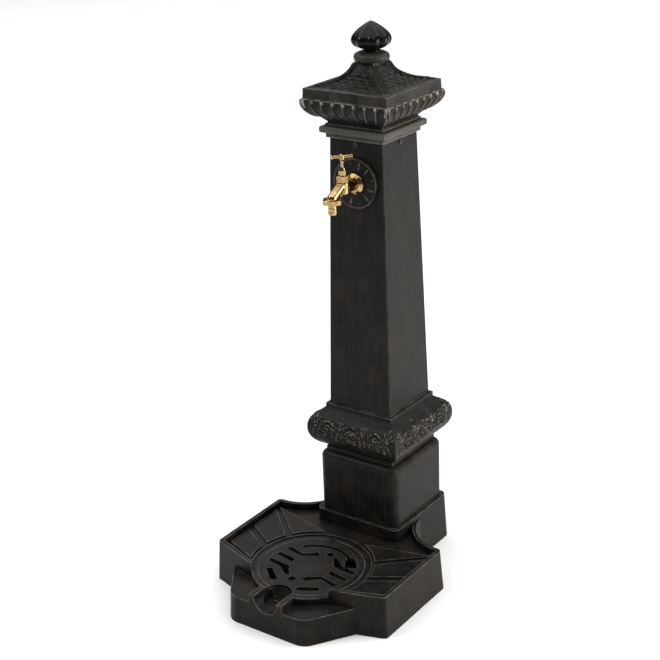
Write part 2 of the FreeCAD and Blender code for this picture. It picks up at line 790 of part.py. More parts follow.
def underside(body, centre):
    """The hollow under the basin casting, round the sump's cup and the chute, with its holes."""
    bay = "bay_radius + casting_wall + rim_width"
    bay_x = "wing_half - bay_land"
    bay_y = "bay_radius - wing_back"
    side = "wing_half - casting_wall"
    slant = "tan(front_angle)"
    back = f"{bay_y} - sqrt(({bay}) ^ 2 - ({bay_x} - ({side})) ^ 2)"
    wing_front = "-(wing_front - casting_wall)"
    front_depth = f"wing_front + (wing_half - notch_half) * {slant} - casting_wall"
    notch = ("notch_half - casting_wall", f"-({front_depth})")
    rear = [(side, wing_front), (side, back, "right", bay), (f"{bay_x} - ({bay})", bay_y)]
    whole = mirrored([("lobe_half - casting_wall", "-(lobe_front - casting_wall)"), notch] + rear)
    low = new_sketch(body, "LowHollow", "XY_Plane", whole)
    take(body, "Pocket", low, {"Reversed": True}, Length="chute_axis - chute_radius - casting_wall")
    right = [("casting_wall", notch[1]), notch] + rear + [("casting_wall", bay_y)]
    left = [(f"-({point[0]})", point[1]) + flipped(point[2:]) for point in right]
    wings = new_sketch(body, "WingHollow", "XY_Plane", right, left)
    take(body, "Pocket", wings, {"Reversed": True}, Length="wing_hollow_top")
    lobes = []
    for sign in ("", "-"):
        lobes.append([
            (f"{sign}(chute_half + casting_wall)", "-(lobe_front - casting_wall)"),
            (f"{sign}(lobe_half - casting_wall)", "-(lobe_front - casting_wall)"),
            (f"{sign}(notch_half - casting_wall * 2)", notch[1]),
            (f"{sign}(chute_half + casting_wall)", notch[1]),
        ])
    lobe_hollow = new_sketch(body, "LobeHollow", "XY_Plane", *lobes)
    take(body, "Pocket", lobe_hollow, {"Reversed": True}, Length="lobe_hollow_top")
    cup_foot = "sump_floor - casting_wall"
    cup = new_sketch(body, "SumpCup", "XY_Plane", (*centre, "grate_radius"), height=cup_foot)
    add(body, "Pad", cup, Length=f"wing_hollow_top - ({cup_foot})")
    under_deck = new_sketch(body, "DeckHollow", "XY_Plane", square("pedestal_half - casting_wall"))
    take(body, "Pocket", under_deck, {"Reversed": True}, Length="plinth_seat - deck_thickness")
    holes = new_sketch(body, "Holes", "XY_Plane", ("0", "0", "rod_hole"), ("0", "-pipe_offset", "pipe_hole"),
                       (*centre, "waste_tail + grate_clearance / 2"))
    take(body, "Pocket", holes, UPWARD_THROUGH)


def drain_grate():
    """The round cast grate that lies on its ledge over the sump and lifts out for cleaning."""
    body = new_body("drain_grate")
    foot = "ring_top - grate_thickness - grate_clearance"
    plate = new_sketch(body, "GratePlate", "XY_Plane", ("0", "0", "grate_radius"))
    add(body, "Pad", plate, Length="grate_thickness")
    slots = []
    for slot in GRATE_SLOTS:
        for sign in (1, -1):
            slots.append([(f"grate_radius * {sign * x}", f"grate_radius * {sign * y}") for x, y in slot])
    for slot in FRONT_SLOTS:
        slots.append([(f"grate_radius * {x}", f"grate_radius * {y}") for x, y in slot])
    slots.append(arched_slot())
    opening = new_sketch(body, "GrateSlots", "XY_Plane", *slots)
    take(body, "Pocket", opening, UPWARD_THROUGH)
    round_edges(body, "Fillet", "SlotCorners", in_slot, Radius="slot_round")
    holes = []
    for sign in (1, -1):
        holes.append((*(f"grate_radius * {sign * share}" for share in GRATE_HOLE), "grate_hole"))
    take(body, "Pocket", new_sketch(body, "GrateHoles", "XY_Plane", *holes), UPWARD_THROUGH)
    bite = new_sketch(body, "ChuteBite", "XY_Plane",
                      ("0", "grate_centre - chute_back - chute_radius", "chute_radius + grate_clearance"))
    take(body, "Pocket", bite, UPWARD_THROUGH)
    line = new_sketch(body, "GrateLine", "XY_Plane", ("0", "0", "grate_line_radius"),
                      ("0", "0", "grate_line_radius + grate_line_depth"),
                      height="grate_thickness - grate_line_depth")
    take(body, "Pocket", line, UPWARD_THROUGH)
    return put(body, ("0", "-grate_centre", foot))


def in_slot(edge):
    """Whether an edge of the grate is an upright corner of a slot."""
    centre = edge.CenterOfMass
    upright = abs(edge.Vertexes[-1].Z - edge.Vertexes[0].Z) > edge.Length * STEEP
    return upright and math.hypot(centre.x, centre.y) < amount_of("grate_line_radius")


def arched_slot():
    """The long arched slot at the back of the grate, wider over its right-hand end."""
    def polar(share, angle):
        return (f"grate_radius * {share} * cos({angle})", f"grate_radius * {share} * sin({angle})")
    thin_inner, thin_outer = ARCHED_THIN
    wide_inner, wide_outer = ARCHED_WIDE
    start, middle, shoulder, end = ARCHED_ANGLES
    return [
        (*polar(wide_outer, end), "left", f"grate_radius * {wide_outer}"), polar(wide_outer, shoulder),
        (*polar(thin_outer, middle), "left", f"grate_radius * {thin_outer}"), polar(thin_outer, start),
        (*polar(thin_inner, start), "right", f"grate_radius * {thin_inner}"), polar(thin_inner, middle),
        (*polar(wide_inner, shoulder), "right", f"grate_radius * {wide_inner}"), polar(wide_inner, end),
    ]


def sump_waste():
    """The waste fitting clamped through the sump's floor, with its seal and nut."""
    place = ("0", "-grate_centre")
    thread_foot = "sump_floor - waste_thread_length"
    foot = f"{thread_foot} - waste_spigot_length"
    outlet = turned("sump_outlet", [
        ("waste_bore", foot), ("waste_spigot", foot), ("waste_spigot", thread_foot),
        ("waste_tail", thread_foot), ("waste_tail", "sump_floor"), ("waste_flange", "sump_floor"),
        ("waste_flange", "sump_floor + waste_flange_thickness"),
        ("waste_bore", "sump_floor + waste_flange_thickness"),
    ], (*place, "0"))
    under = "sump_floor - casting_wall - waste_seal_thickness"
    seal = ring("sump_seal", "waste_tail", "waste_seal_outer", "waste_seal_thickness", (*place, under))
    nut_foot = f"{under} - waste_nut_thickness"
    nut_hex = hexagon("SumpNutHex", (*place, nut_foot), "waste_nut_flats", "waste_nut_thickness")
    nut = cut("sump_nut", nut_hex,
              cylinder("SumpNutBore", (*place, nut_foot), "waste_tail", "waste_nut_thickness"))
    return [outlet, seal, nut]


def plinth():
    """The square block on the basin, open below, whose top carries the moulding."""
    body = new_body("plinth")
    height = "plinth_top - plinth_seat"
    outline = new_sketch(body, "PlinthBlock", "XY_Plane", square("plinth_half", "plinth_corner_round"))
    add(body, "Pad", outline, Length=height)
    round_edges(body, "Fillet", "PlinthShoulder",
                lambda edge: edge.CenterOfMass.z > amount_of(height) - NEAR, Radius="plinth_top_round")
    inner = square("plinth_half - plinth_wall", "plinth_inner_round")
    hollow = new_sketch(body, "PlinthHollow", "XY_Plane", inner)
    take(body, "Pocket", hollow, {"Reversed": True}, Length=f"{height} - plinth_wall")
    duct = new_sketch(body, "PlinthDuct", "XY_Plane", square("duct_half"))
    take(body, "Pocket", duct, UPWARD_THROUGH)
    return put(body, ("0", "0", "plinth_seat"))


def torus_moulding():
    """The swelling moulding between two fillets that carries the shaft on the plinth."""
    block = mitred("TorusBlock", [
        ("torus_step_half", "plinth_top"),
        ("torus_step_half", "plinth_top + torus_step_height"),
        ("torus_waist_half", "plinth_top + torus_step_height"),
        ("torus_waist_half", "torus_waist_height", "left", "torus_under_round"),
        ("torus_half", "torus_widest_height", "left", "torus_over_round"),
        ("torus_over_half", "torus_over_height"),
        ("torus_fillet_half", "torus_fillet_height"),
        ("torus_fillet_half", "torus_top"),
    ])
    duct = square_bar("TorusDuct", "duct_half", "plinth_top", "torus_top - plinth_top")
    return cut("torus_moulding", block, duct)


def rounded(name, base, radius, chosen):
    """The base with the chosen edges rounded."""
    document.recompute()
    item = document.addObject("Part::Fillet", name)
    item.Base = base
    size = amount_of(radius)
    item.Edges = [(index, size, size) for index, edge in enumerate(base.Shape.Edges, start=1) if chosen(edge)]
    return item


def column_shaft():
    """The tapered square shaft, cast as a tube, with holes for the tap and the cap screws."""
    block = mitred("ShaftBlock", [("shaft_foot_half", "torus_top"), ("shaft_head_half", "shaft_top")])
    length = "shaft_top - torus_top"
    outside = rounded("ShaftArrises", block, "shaft_corner_round",
                      lambda edge: edge.Length > amount_of(length) - NEAR)
    core = mitred("ShaftCore", [
        ("shaft_foot_half - shaft_wall", "torus_top"), ("shaft_head_half - shaft_wall", "shaft_top"),
    ])
    tap = cylinder("ShaftTapHole", ("0", "0", "tap_height"), "tap_hole", "shaft_foot_half", FORWARD)
    holes = screw_holes("Shaft", "shaft_foot_half")
    return cut("column_shaft", outside, core, tap, *holes)


def screw_holes(name, reach):
    """The two cross holes for the four cap screws."""
    holes = []
    for side, turn in (("Front", FORWARD), ("Side", RIGHTWARD)):
        outward = turn.multVec(Vector(0, 0, 1))
        place = [f"{round(-part)} * ({reach})" for part in (outward.x, outward.y)]
        holes.append(cylinder(name + side + "Hole", (*place, "cap_screw_height"), "cap_screw_hole",
                              f"({reach}) * 2", turn))
    return holes


def half_at(height):
    """Half the shaft's width at a height."""
    share = f"(shaft_top - ({height})) / (shaft_top - torus_top)"
    return f"shaft_head_half + (shaft_foot_half - shaft_head_half) * {share}"


def collar_plate():
    """The stepped plate on the shaft's head, with the spigot that the cap screws hold."""
    edge = "collar_half - collar_edge_round"
    block = mitred("CollarBlock", [
        ("collar_under_half", "shaft_top"), ("collar_under_half", "collar_under_top"),
        (edge, "collar_under_top", "left", "collar_edge_round"),
        ("collar_half", "collar_under_top + collar_edge_round"),
        ("collar_half", "collar_top - collar_edge_round", "left", "collar_edge_round"),
        (edge, "collar_top"),
        ("collar_step_half", "collar_top"), ("collar_step_half", "collar_step_top"),
    ])
    spigot_half = "shaft_head_half - shaft_wall - spigot_gap"
    spigot = square_bar("CollarSpigot", spigot_half, "spigot_foot", "shaft_top - spigot_foot")
    duct = square_bar("CollarDuct", f"{spigot_half} - spigot_wall", "spigot_foot",
                      "collar_step_top - spigot_foot")
    holes = screw_holes("Collar", "shaft_head_half")
    return cut("collar_plate", fused("CollarSolid", block, spigot), duct, *holes)


def cap_screws():
    """Four screws, one in the middle of each side, through the shaft into the collar's spigot."""
    screws = []
    face = half_at("cap_screw_height - cap_screw_head") + " + cap_screw_seat_gap"
    for index in range(SIDES):
        turn = Rotation(Vector(0, 0, 1), 360 / SIDES * index).multiply(FORWARD)
        outward = turn.multVec(Vector(0, 0, 1))
        seat, end = [
            (f"{round(outward.x)} * ({reach})", f"{round(outward.y)} * ({reach})", "cap_screw_height")
            for reach in (face, f"({face}) - cap_screw_length")
        ]
        head = cylinder(f"ScrewHead{index}", seat, "cap_screw_head", "cap_screw_head_height", turn)
        shank = cylinder(f"ScrewShank{index}", end, "cap_screw_radius", "cap_screw_length", turn)
        screws.append(fused(f"Screw{index}", head, shank))
    return group("cap_screws", screws)


def capital():
    """The capital: a bead, then the broad ovolo that carries the roof."""
    block = mitred("CapitalBlock", [
        ("neck_half", "collar_step_top"),
        ("neck_half", "neck_top"),
        ("bead_half", "bead_height"),
        ("ovolo_low_half", "ovolo_low_height", "left", "ovolo_round"),
        ("ovolo_half", "ovolo_widest_height"),
        ("ovolo_lip_half", "ovolo_top"),
    ])
    duct = square_bar("CapitalDuct", "shaft_head_half - shaft_wall - spigot_gap - spigot_wall",
                      "collar_step_top", "ovolo_top - collar_step_top - casting_wall")
    rod_hole = cylinder("CapitalRodHole", ("0", "0", "collar_step_top"), "rod_hole",
                        "ovolo_top - collar_step_top")
    return cut("capital", block, duct, rod_hole)


def roof():
    """The low hollow-sided roof with its eave band and the four raised hips."""
    block = mitred("RoofBlock", [
        ("band_half", "ovolo_top"),
        ("eave_half", "eave_height"),
        ("roof_flat_half", "roof_flat_height", "right", "roof_sweep"),
        ("roof_slope_half", "roof_slope_height", "right", "roof_throat"),
        ("roof_shoulder_half", "roof_shoulder_height"),
        ("roof_neck_half", "roof_top"),
    ])
    hips = [hip(index) for index in range(SIDES)]
    solid = fused("RoofSolid", block, *hips)
    duct = square_bar("RoofHollow", "duct_half - hip_width", "ovolo_top",
                      "roof_flat_height - ovolo_top - casting_wall")
    rod_hole = cylinder("RoofRodHole", ("0", "0", "ovolo_top"), "rod_hole", "roof_top - ovolo_top")
    return cut("roof", solid, duct, rod_hole)


def hip(index):
    """A raised strip along one hip of the roof, following its hollow slope a little above it."""
    corner = "sqrt(2)"
    end = f"eave_half * {corner} - hip_width / 2"
    foot = "eave_height - hip_rise"
    sketch = document.addObject("Sketcher::SketchObject", f"HipProfile{index}")
    turn = Rotation(Vector(0, 0, 1), 360 / SIDES * (index + 0.5))
    sketch.Placement = Placement(Vector(), turn.multiply(FORWARD))
    draw(sketch, [
        ("roof_neck_half", foot),
        (f"roof_neck_half * {corner}", "roof_top + hip_rise"),
        (f"roof_shoulder_half * {corner}", "roof_shoulder_height + hip_rise",
         "left", f"roof_throat * {corner}"),
        (f"roof_slope_half * {corner}", "roof_slope_height + hip_rise",
         "left", f"roof_sweep * {corner}"),
        (f"roof_flat_half * {corner}", "roof_flat_height + hip_rise"),
        (end, "eave_height"),
        (end, foot),
    ])
    strip = document.addObject("Part::Extrusion", f"Hip{index}")
    strip.Base = sketch
    strip.DirMode = "Normal"
    strip.Solid = True
    strip.Symmetric = True
    strip.setExpression("LengthFwd", bound("hip_width"))
    return strip


def neck_ring():
    """The rounded ring on the roof's top, bored out for the rod's upper nut."""
    top = "finial_foot"
    return turned("neck_ring", [
        ("neck_ring_bore", "roof_top"),
        ("ring_foot_radius", "roof_top"),
        ("neck_ring_lower", "roof_top + neck_ring_lower_height", "left", "neck_ring_round"),
        ("neck_ring_upper", f"{top} - neck_ring_crown"),
        ("neck_ring_seat", top),
        ("neck_ring_bore", top),
    ])


def finial():
    """The bud on top, screwed on the tie rod's end."""
    foot = "finial_foot"
    return turned("finial", [
        ("rod_radius", foot),
        ("finial_neck", foot),
        ("finial_neck", f"{foot} + finial_neck_length"),
        ("finial_under", "finial_under_height"),
        ("finial_belly", "finial_belly_height", "left", "finial_belly_round"),
        ("finial_widest", "finial_widest_height", "left", "finial_crown_round"),
        ("finial_tip", "finial_tip_height"),
        ("0", "finial_top"),
        ("0", f"{foot} + finial_socket_depth"),
        ("rod_radius", f"{foot} + finial_socket_depth"),
    ])


def tie_rod_set():
    """The rod that clamps the stack from the basin's deck to the finial, with nuts and washers."""
    rod_top = "finial_foot + finial_socket_depth"
    rod = turned("tie_rod", [
        ("0", "rod_foot"), ("rod_radius", "rod_foot"), ("rod_radius", rod_top), ("0", rod_top),
    ])
    deck = "plinth_seat - deck_thickness"
    pieces = [rod]
    for name, seat in (("tie_rod", f"{deck} - rod_washer_thickness"), ("roof", "roof_top")):
        pieces.append(ring(f"{name}_washer", "rod_radius", "rod_washer_radius", "rod_washer_thickness",
                           ("0", "0", seat)))
        foot = f"{deck} - rod_washer_thickness - rod_nut_thickness"
        if name == "roof":
            foot = "roof_top + rod_washer_thickness"
        place = ("0", "0", foot)
        hexagon_bar = hexagon(f"{name}NutHex", place, "rod_nut_flats", "rod_nut_thickness")
        bore = cylinder(f"{name}NutBore", place, "rod_radius", "rod_nut_thickness")
        pieces.append(cut(f"{name}_nut", hexagon_bar, bore))
    return pieces


def rosette():
    """The round plate behind the tap, with a raised rim, lying on the shaft's sloping front."""
    slope = "atan((shaft_foot_half - shaft_head_half) / (shaft_top - torus_top))"
    plate = turned("rosette", [
        ("tap_hole", "0"), ("rosette_radius", "0"),
        ("rosette_radius", "rosette_thickness + rosette_rim_rise"),
        ("rosette_radius - rosette_rim_width", "rosette_thickness + rosette_rim_rise"),
        ("rosette_radius - rosette_rim_width", "rosette_thickness"), ("tap_hole", "rosette_thickness"),
    ], ("0", f"-({half_at('tap_height')})", "tap_height"), FORWARD)
    plate.setExpression("Placement.Rotation.Angle", bound(f"90 deg - {slope}"))
    return plate


def flange_foot():
    """How far in front of the column's axis the tap's wall flange starts."""
    return f"{half_at('tap_height')} + rosette_thickness + rosette_tilt_gap"


def wall_flange():
    """The domed brass flange between the rosette and the tap's barrel."""
    return turned("wall_flange", [
        ("tap_thread", "0"), ("flange_radius", "0"), ("flange_radius", "flange_edge"),
        ("flange_crown", "flange_length"), ("tap_thread", "flange_length"),
    ], ("0", f"-({flange_foot()})", "tap_height"), FORWARD)


def tap_body():
    """The bib tap's cast body: threaded tail, barrel, valve chamber with its seat, and the spout."""
    shoulder = f"{flange_foot()} + flange_length"
    drop = "spout_start_height - spout_knee_height"
    outside = [
        cylinder("TapTail", ("0", "-tap_tail_end", "tap_height"), "tap_thread",
                 f"{shoulder} - tap_tail_end", FORWARD),
        cylinder("TapBarrel", ("0", f"-({shoulder})", "tap_height"), "barrel_radius",
                 f"spindle_out - ({shoulder})", FORWARD),
        primitive("Cone", "TapChamberBase", on_spindle("chamber_foot"), None, Radius1="chamber_base_radius",
                  Radius2="chamber_radius", Height="chamber_base_height"),
        cylinder("TapChamber", on_spindle("chamber_foot + chamber_base_height"), "chamber_radius",
                 "chamber_top - chamber_foot - chamber_base_height"),
        cylinder("TapOutlet", ("0", "-outlet_out", "outlet_foot"), "outlet_thread", "outlet_thread_length"),
    ]
    inside = [
        cylinder("TapInlet", ("0", "-pipe_offset", "tap_height - inlet_drop"), "inlet_bore",
                 "spindle_out - pipe_offset", FORWARD),
        cylinder("TapSeat", ("0", "-spindle_out", "tap_height - inlet_drop"), "seat_bore",
                 "seat_rise + inlet_drop"),
        cylinder("TapChamberBore", ("0", "-spindle_out", "seat_height"), "chamber_bore",
                 "chamber_top - seat_height"),
        cylinder("TapTopFace", ("0", "-spindle_out", "chamber_top"), "spout_reach", "spout_radius"),
        cylinder("TapMouthFace", ("0", "-outlet_out", "outlet_foot - spout_radius"), "outlet_thread",
                 "spout_radius"),
        ring("TapShoulderFace", "outlet_thread", "union_flats / sqrt(3) + running_gap",
             "union_top + running_gap - outlet_foot", ("0", "-outlet_out", "outlet_foot")),
    ]
    for name, radius, pieces in (("Spout", "spout_radius", outside), ("SpoutBore", "spout_bore", inside)):
        slope = cylinder(name + "Slope", ("0", "-spindle_out", "spout_start_height"), radius,
                         f"sqrt(spout_reach ^ 2 + ({drop}) ^ 2)", FORWARD)
        slope.setExpression("Placement.Rotation.Angle", bound(f"90 deg + atan(({drop}) / spout_reach)"))
        knee = primitive("Sphere", name + "Knee", ("0", "-outlet_out", "spout_knee_height"), None,
                         Radius=radius)
        leg = cylinder(name + "Leg", ("0", "-outlet_out", "outlet_foot"), radius, "spout_leg")
        pieces += [slope, knee, leg]
    return cut("tap_body", fused("TapSolid", *outside), *inside)


def back_fixing():
    """The washer and nut on the tap's tail that clamp it to the shaft from inside."""
    wall = f"{half_at('tap_height')} - shaft_wall - rosette_tilt_gap"
    washer = ring("back_washer", "tap_thread", "back_washer_radius", "back_washer_thickness",
                  ("0", f"-({wall} - back_washer_thickness)", "tap_height"), FORWARD)
    place = ("0", f"-({wall} - back_washer_thickness - back_nut_thickness)", "tap_height")
    nut = cut("back_nut", hexagon("BackNutHex", place, "back_nut_flats", "back_nut_thickness", FORWARD),
              cylinder("BackNutBore", place, "tap_thread", "back_nut_thickness", FORWARD))
    return [washer, nut]


def on_spindle(height):
    return ("0", "-spindle_out", height)


def headworks():
    """What closes the valve chamber: seal, bonnet, packing and gland nut."""
    seal = ring("bonnet_seal", "chamber_bore", "chamber_radius - bonnet_seal_inset", "bonnet_seal_thickness",
                on_spindle("chamber_top"))
    outer = [
        cylinder("BonnetSkirt", on_spindle("bonnet_foot"), "chamber_bore - running_gap",
                 "bonnet_hex_foot - bonnet_foot"),
        hexagon("BonnetHex", on_spindle("bonnet_hex_foot"), "bonnet_flats", "bonnet_hex_height"),
        cylinder("BonnetNeck", on_spindle("bonnet_hex_top"), "bonnet_neck_radius", "bonnet_neck_height"),
    ]
    inner = [
        cylinder("BonnetSkirtBore", on_spindle("bonnet_foot"), "bonnet_skirt_bore",
                 "bonnet_skirt_length + bonnet_skirt_relief"),
        cylinder("BonnetThread", on_spindle("bonnet_foot"), "spindle_thread + running_gap",
                 "packing_floor - stem_guide - bonnet_foot"),
        cylinder("BonnetStem", on_spindle("bonnet_foot"), "spindle_stem + running_gap",
                 "bonnet_neck_top - bonnet_foot"),
        cylinder("PackingRecess", on_spindle("packing_floor"), "packing_outer", "packing_recess"),
    ]
    bonnet = cut("tap_bonnet", fused("BonnetSolid", *outer), *inner)
    packing = ring("gland_packing", "spindle_stem + running_gap", "packing_outer", "packing_length",
                   on_spindle("packing_floor"))
    return [seal, bonnet, packing, gland_nut()]


def gland_nut():
    """The nut over the bonnet's neck, whose inner collar presses the packing."""
    follower = "packing_floor + packing_length"
    outer = [
        hexagon("GlandHex", on_spindle("gland_foot"), "gland_flats", "gland_hex_top - gland_foot"),
        primitive("Cone", "GlandCrown", on_spindle("gland_hex_top"), None, Radius1="gland_flats / 2",
                  Radius2="gland_crown", Height="gland_top - gland_hex_top"),
    ]
    inner = [
        cylinder("GlandThread", on_spindle("gland_foot"), "bonnet_neck_radius",
                 "bonnet_neck_top - gland_foot"),
        cylinder("GlandStem", on_spindle("gland_foot"), "spindle_stem + running_gap",
                 "gland_top - gland_foot"),
    ]
    cap = cut("GlandCap", fused("GlandSolid", *outer), *inner)
    collar = cylinder("GlandCollar", on_spindle(follower), "packing_outer - running_gap",
                      f"gland_hex_top - ({follower})")
    bore = cylinder("GlandCollarBore", on_spindle(follower), "spindle_stem + running_gap",
                    f"gland_hex_top - ({follower})")
    return fused("gland_nut", cap, cut("GlandFollower", collar, bore))


def valve_plate_foot():
    return "seat_height + valve_washer_thickness"


def jumper_set():
    """The jumper that carries the tap's washer, which lies on the seat while the tap is shut."""
    plate = valve_plate_foot()
    jumper = turned("jumper_valve", [
        ("0", f"{plate} - jumper_stub_length"), ("jumper_stub", f"{plate} - jumper_stub_length"),
        ("jumper_stub", plate), ("valve_washer_radius", plate),
        ("valve_washer_radius", f"{plate} + jumper_plate_thickness"),
        ("jumper_stem", f"{plate} + jumper_plate_thickness"),
        ("jumper_stem", f"{plate} + jumper_plate_thickness + jumper_stem_length"),
        ("0", f"{plate} + jumper_plate_thickness + jumper_stem_length"),
    ], on_spindle("0"))
    washer = ring("valve_washer", "jumper_stub", "valve_washer_radius", "valve_washer_thickness",
                  on_spindle("seat_height"))
    place = on_spindle("seat_height - washer_nut_thickness")
    nut = cut("washer_nut", hexagon("WasherNutHex", place, "washer_nut_flats", "washer_nut_thickness"),
              cylinder("WasherNutBore", place, "jumper_stub", "washer_nut_thickness"))
    return [jumper, washer, nut]


def spindle():
    """The spindle, threaded in the bonnet, bored below for the jumper and crossed by the bar above."""
    foot = f"{valve_plate_foot()} + jumper_plate_thickness + jumper_plate_gap"
    socket = f"({foot}) + jumper_stem_length + jumper_head_gap"
    stem = turned("SpindleStem", [
        ("jumper_stem + running_gap", foot), ("spindle_thread", foot), ("spindle_thread", "spindle_shoulder"),
        ("spindle_stem", "spindle_shoulder + spindle_shoulder_cone"),
        ("spindle_stem", "spindle_boss_foot - spindle_boss_cone"),
        ("spindle_boss", "spindle_boss_foot"), ("spindle_boss", "spindle_boss_top - spindle_crown_height"),
        ("spindle_boss - spindle_crown_inset", "spindle_boss_top"), ("0", "spindle_boss_top"),
        ("0", socket), ("jumper_stem + running_gap", socket),
    ], on_spindle("0"))
    cross = cylinder("SpindleCross", on_spindle("bar_height"), "bar_radius", "bar_length")
    lay_along_bar(cross)
    return cut("spindle", stem, cross)


def lay_along_bar(item):
    """Lays a piece along the handle bar, level and turned from +X, about the spindle's axis."""
    turn = Rotation(Vector(0, 0, 1), amount_of("bar_turn"))
    item.Placement = Placement(Vector(), turn.multiply(RIGHTWARD))
    item.setExpression("Placement.Base.x", bound("-bar_length / 2 * cos(bar_turn)"))
    item.setExpression("Placement.Base.y", bound("-spindle_out - bar_length / 2 * sin(bar_turn)"))
    item.setExpression("Placement.Base.z", bound("bar_height"))


def handle_bar():
    """The round bar of the T handle, with its flared ends."""
    bar = turned("handle_bar", [
        ("0", "0"), ("bar_end_radius", "0"), ("bar_radius", "bar_end_length"),
        ("bar_radius", "bar_length - bar_end_length"), ("bar_end_radius", "bar_length"), ("0", "bar_length"),
    ])
    lay_along_bar(bar)
    return bar


def hose_union():
    """The union under the spout: nut, washer and the tail that a hose is pushed on."""
    place = ("0", "-outlet_out")
    nut = cut("union_nut", hexagon("UnionHex", (*place, "union_foot"), "union_flats", "union_height"),
              cylinder("UnionThread", (*place, "union_foot + union_lip"), "outlet_thread",
                       "union_height - union_lip"),
              cylinder("UnionHole", (*place, "union_foot"), "tail_radius + barb_rise + running_gap",
                       "union_lip"))
    flange_foot_height = "union_foot + union_lip"
    flange_top = f"{flange_foot_height} + tail_flange_thickness"
    barb = f"tail_length / {BARBS}"
    path = [("tail_bore", "tail_foot")]
    for index in range(BARBS):
        path.append(("tail_radius", f"tail_foot + {barb} * {index}"))
        path.append(("tail_radius + barb_rise", f"tail_foot + {barb} * ({index} + barb_lead)"))
    flange = "outlet_thread - union_side_gap"
    path += [("tail_radius", "union_foot"), ("tail_radius", flange_foot_height),
             (flange, flange_foot_height), (flange, flange_top), ("tail_bore", flange_top)]
    tail = turned("hose_tail", path, (*place, "0"))
    washer = ring("tail_washer", "tail_washer_bore", flange, f"outlet_foot - ({flange_top})",
                  (*place, flange_top))
    return [nut, tail, washer]


def supply():
    """The pipe up the column with its coupling below and the elbow that takes the tap's tail."""
    axis = ("0", "-pipe_offset")
    leg_foot = "tap_height - elbow_drop"
    pipe_top = f"{leg_foot} + elbow_pipe_depth"
    pipe = turned("supply_pipe", [
        ("pipe_bore", "pipe_foot"), ("pipe_radius", "pipe_foot"), ("pipe_radius", pipe_top),
        ("pipe_bore", pipe_top),
    ], (*axis, "0"))
    fixing = "rosette_tilt_gap + back_washer_thickness + back_nut_thickness"
    socket_length = f"{half_at('tap_height')} - shaft_wall - ({fixing}) - pipe_offset"
    elbow_outer = [
        cylinder("ElbowLeg", (*axis, f"{leg_foot} + coupling_thread_length"), "fitting_body",
                 "elbow_drop - coupling_thread_length"),
        cylinder("ElbowThread", (*axis, leg_foot), "fitting_thread", "coupling_thread_length"),
        primitive("Sphere", "ElbowKnee", (*axis, "tap_height"), None, Radius="fitting_body"),
        cylinder("ElbowSocket", (*axis, "tap_height"), "tap_thread + elbow_socket_wall", socket_length,
                 FORWARD),
    ]
    elbow_inner = [
        cylinder("ElbowPipeSocket", (*axis, leg_foot), "pipe_socket", "elbow_pipe_depth"),
        cylinder("ElbowPassage", (*axis, leg_foot), "pipe_bore", "elbow_drop"),
        primitive("Sphere", "ElbowTurn", (*axis, "tap_height"), None, Radius="pipe_bore"),
        cylinder("ElbowThroat", (*axis, "tap_height"), "pipe_bore", "tap_tail_end", FORWARD),
        cylinder("ElbowTailSocket", ("0", "-tap_tail_end", "tap_height"), "tap_thread", "tap_tail_end",
                 FORWARD),
    ]
    elbow = cut("supply_elbow", fused("ElbowSolid", *elbow_outer), *elbow_inner)
    coupling = cut(
        "inlet_coupling",
        fused("CouplingSolid",
              cylinder("CouplingTube", (*axis, "coupling_foot"), "fitting_thread", "coupling_length"),
              hexagon("CouplingHex", (*axis, "coupling_foot + coupling_thread_length"), "coupling_flats",
                      "coupling_length - coupling_thread_length * 2")),
        cylinder("CouplingLower", (*axis, "coupling_foot"), "pipe_socket", "pipe_depth - pipe_stop"),
        cylinder("CouplingUpper", (*axis, "pipe_foot"), "pipe_socket", "coupling_length - pipe_depth"),
        cylinder("CouplingStop", (*axis, "coupling_foot"), "pipe_bore", "coupling_length"))
    ends = [("Elbow", leg_foot, -1), ("CouplingTop", "coupling_foot + coupling_length", 1),
            ("CouplingFoot", "coupling_foot", -1)]
    nuts = [compression_nut(name, axis, face, way) for name, face, way in ends]
    olives = [olive(name, axis, face, way) for name, face, way in ends[:2]]
    return [pipe, elbow, coupling, group("compression_nuts", nuts), group("olives", olives)]


def compression_nut(name, axis, face, way):
    """A nut over a fitting's thread, whose lip presses the olive. Way is the side that it closes."""
    thread = "fitting_nut_length - fitting_nut_lip - olive_length - olive_gap * 2"
    foot = f"{face} - (fitting_nut_length - ({thread}))" if way < 0 else f"{face} - ({thread})"
    bore_foot = f"({foot}) + fitting_nut_lip" if way < 0 else foot
    outside = hexagon(name + "NutHex", (*axis, foot), "fitting_nut_flats", "fitting_nut_length")
    return cut(name + "Nut", outside,
               cylinder(name + "NutThread", (*axis, bore_foot), "fitting_thread",
                        "fitting_nut_length - fitting_nut_lip"),
               cylinder(name + "NutHole", (*axis, foot), "pipe_socket", "fitting_nut_length"))


def olive(name, axis, face, way):
    """The soft ring on the pipe between a fitting's end and its nut."""
    foot = f"{face} - olive_length - olive_gap" if way < 0 else f"{face} + olive_gap"
    return ring(name + "Olive", "pipe_radius", "olive_outer", "olive_length", (*axis, foot))


def faults(item):
    """What is wrong with an object of the document, if anything is."""
    return [state for state in item.State if state in ("Invalid", "Error")]


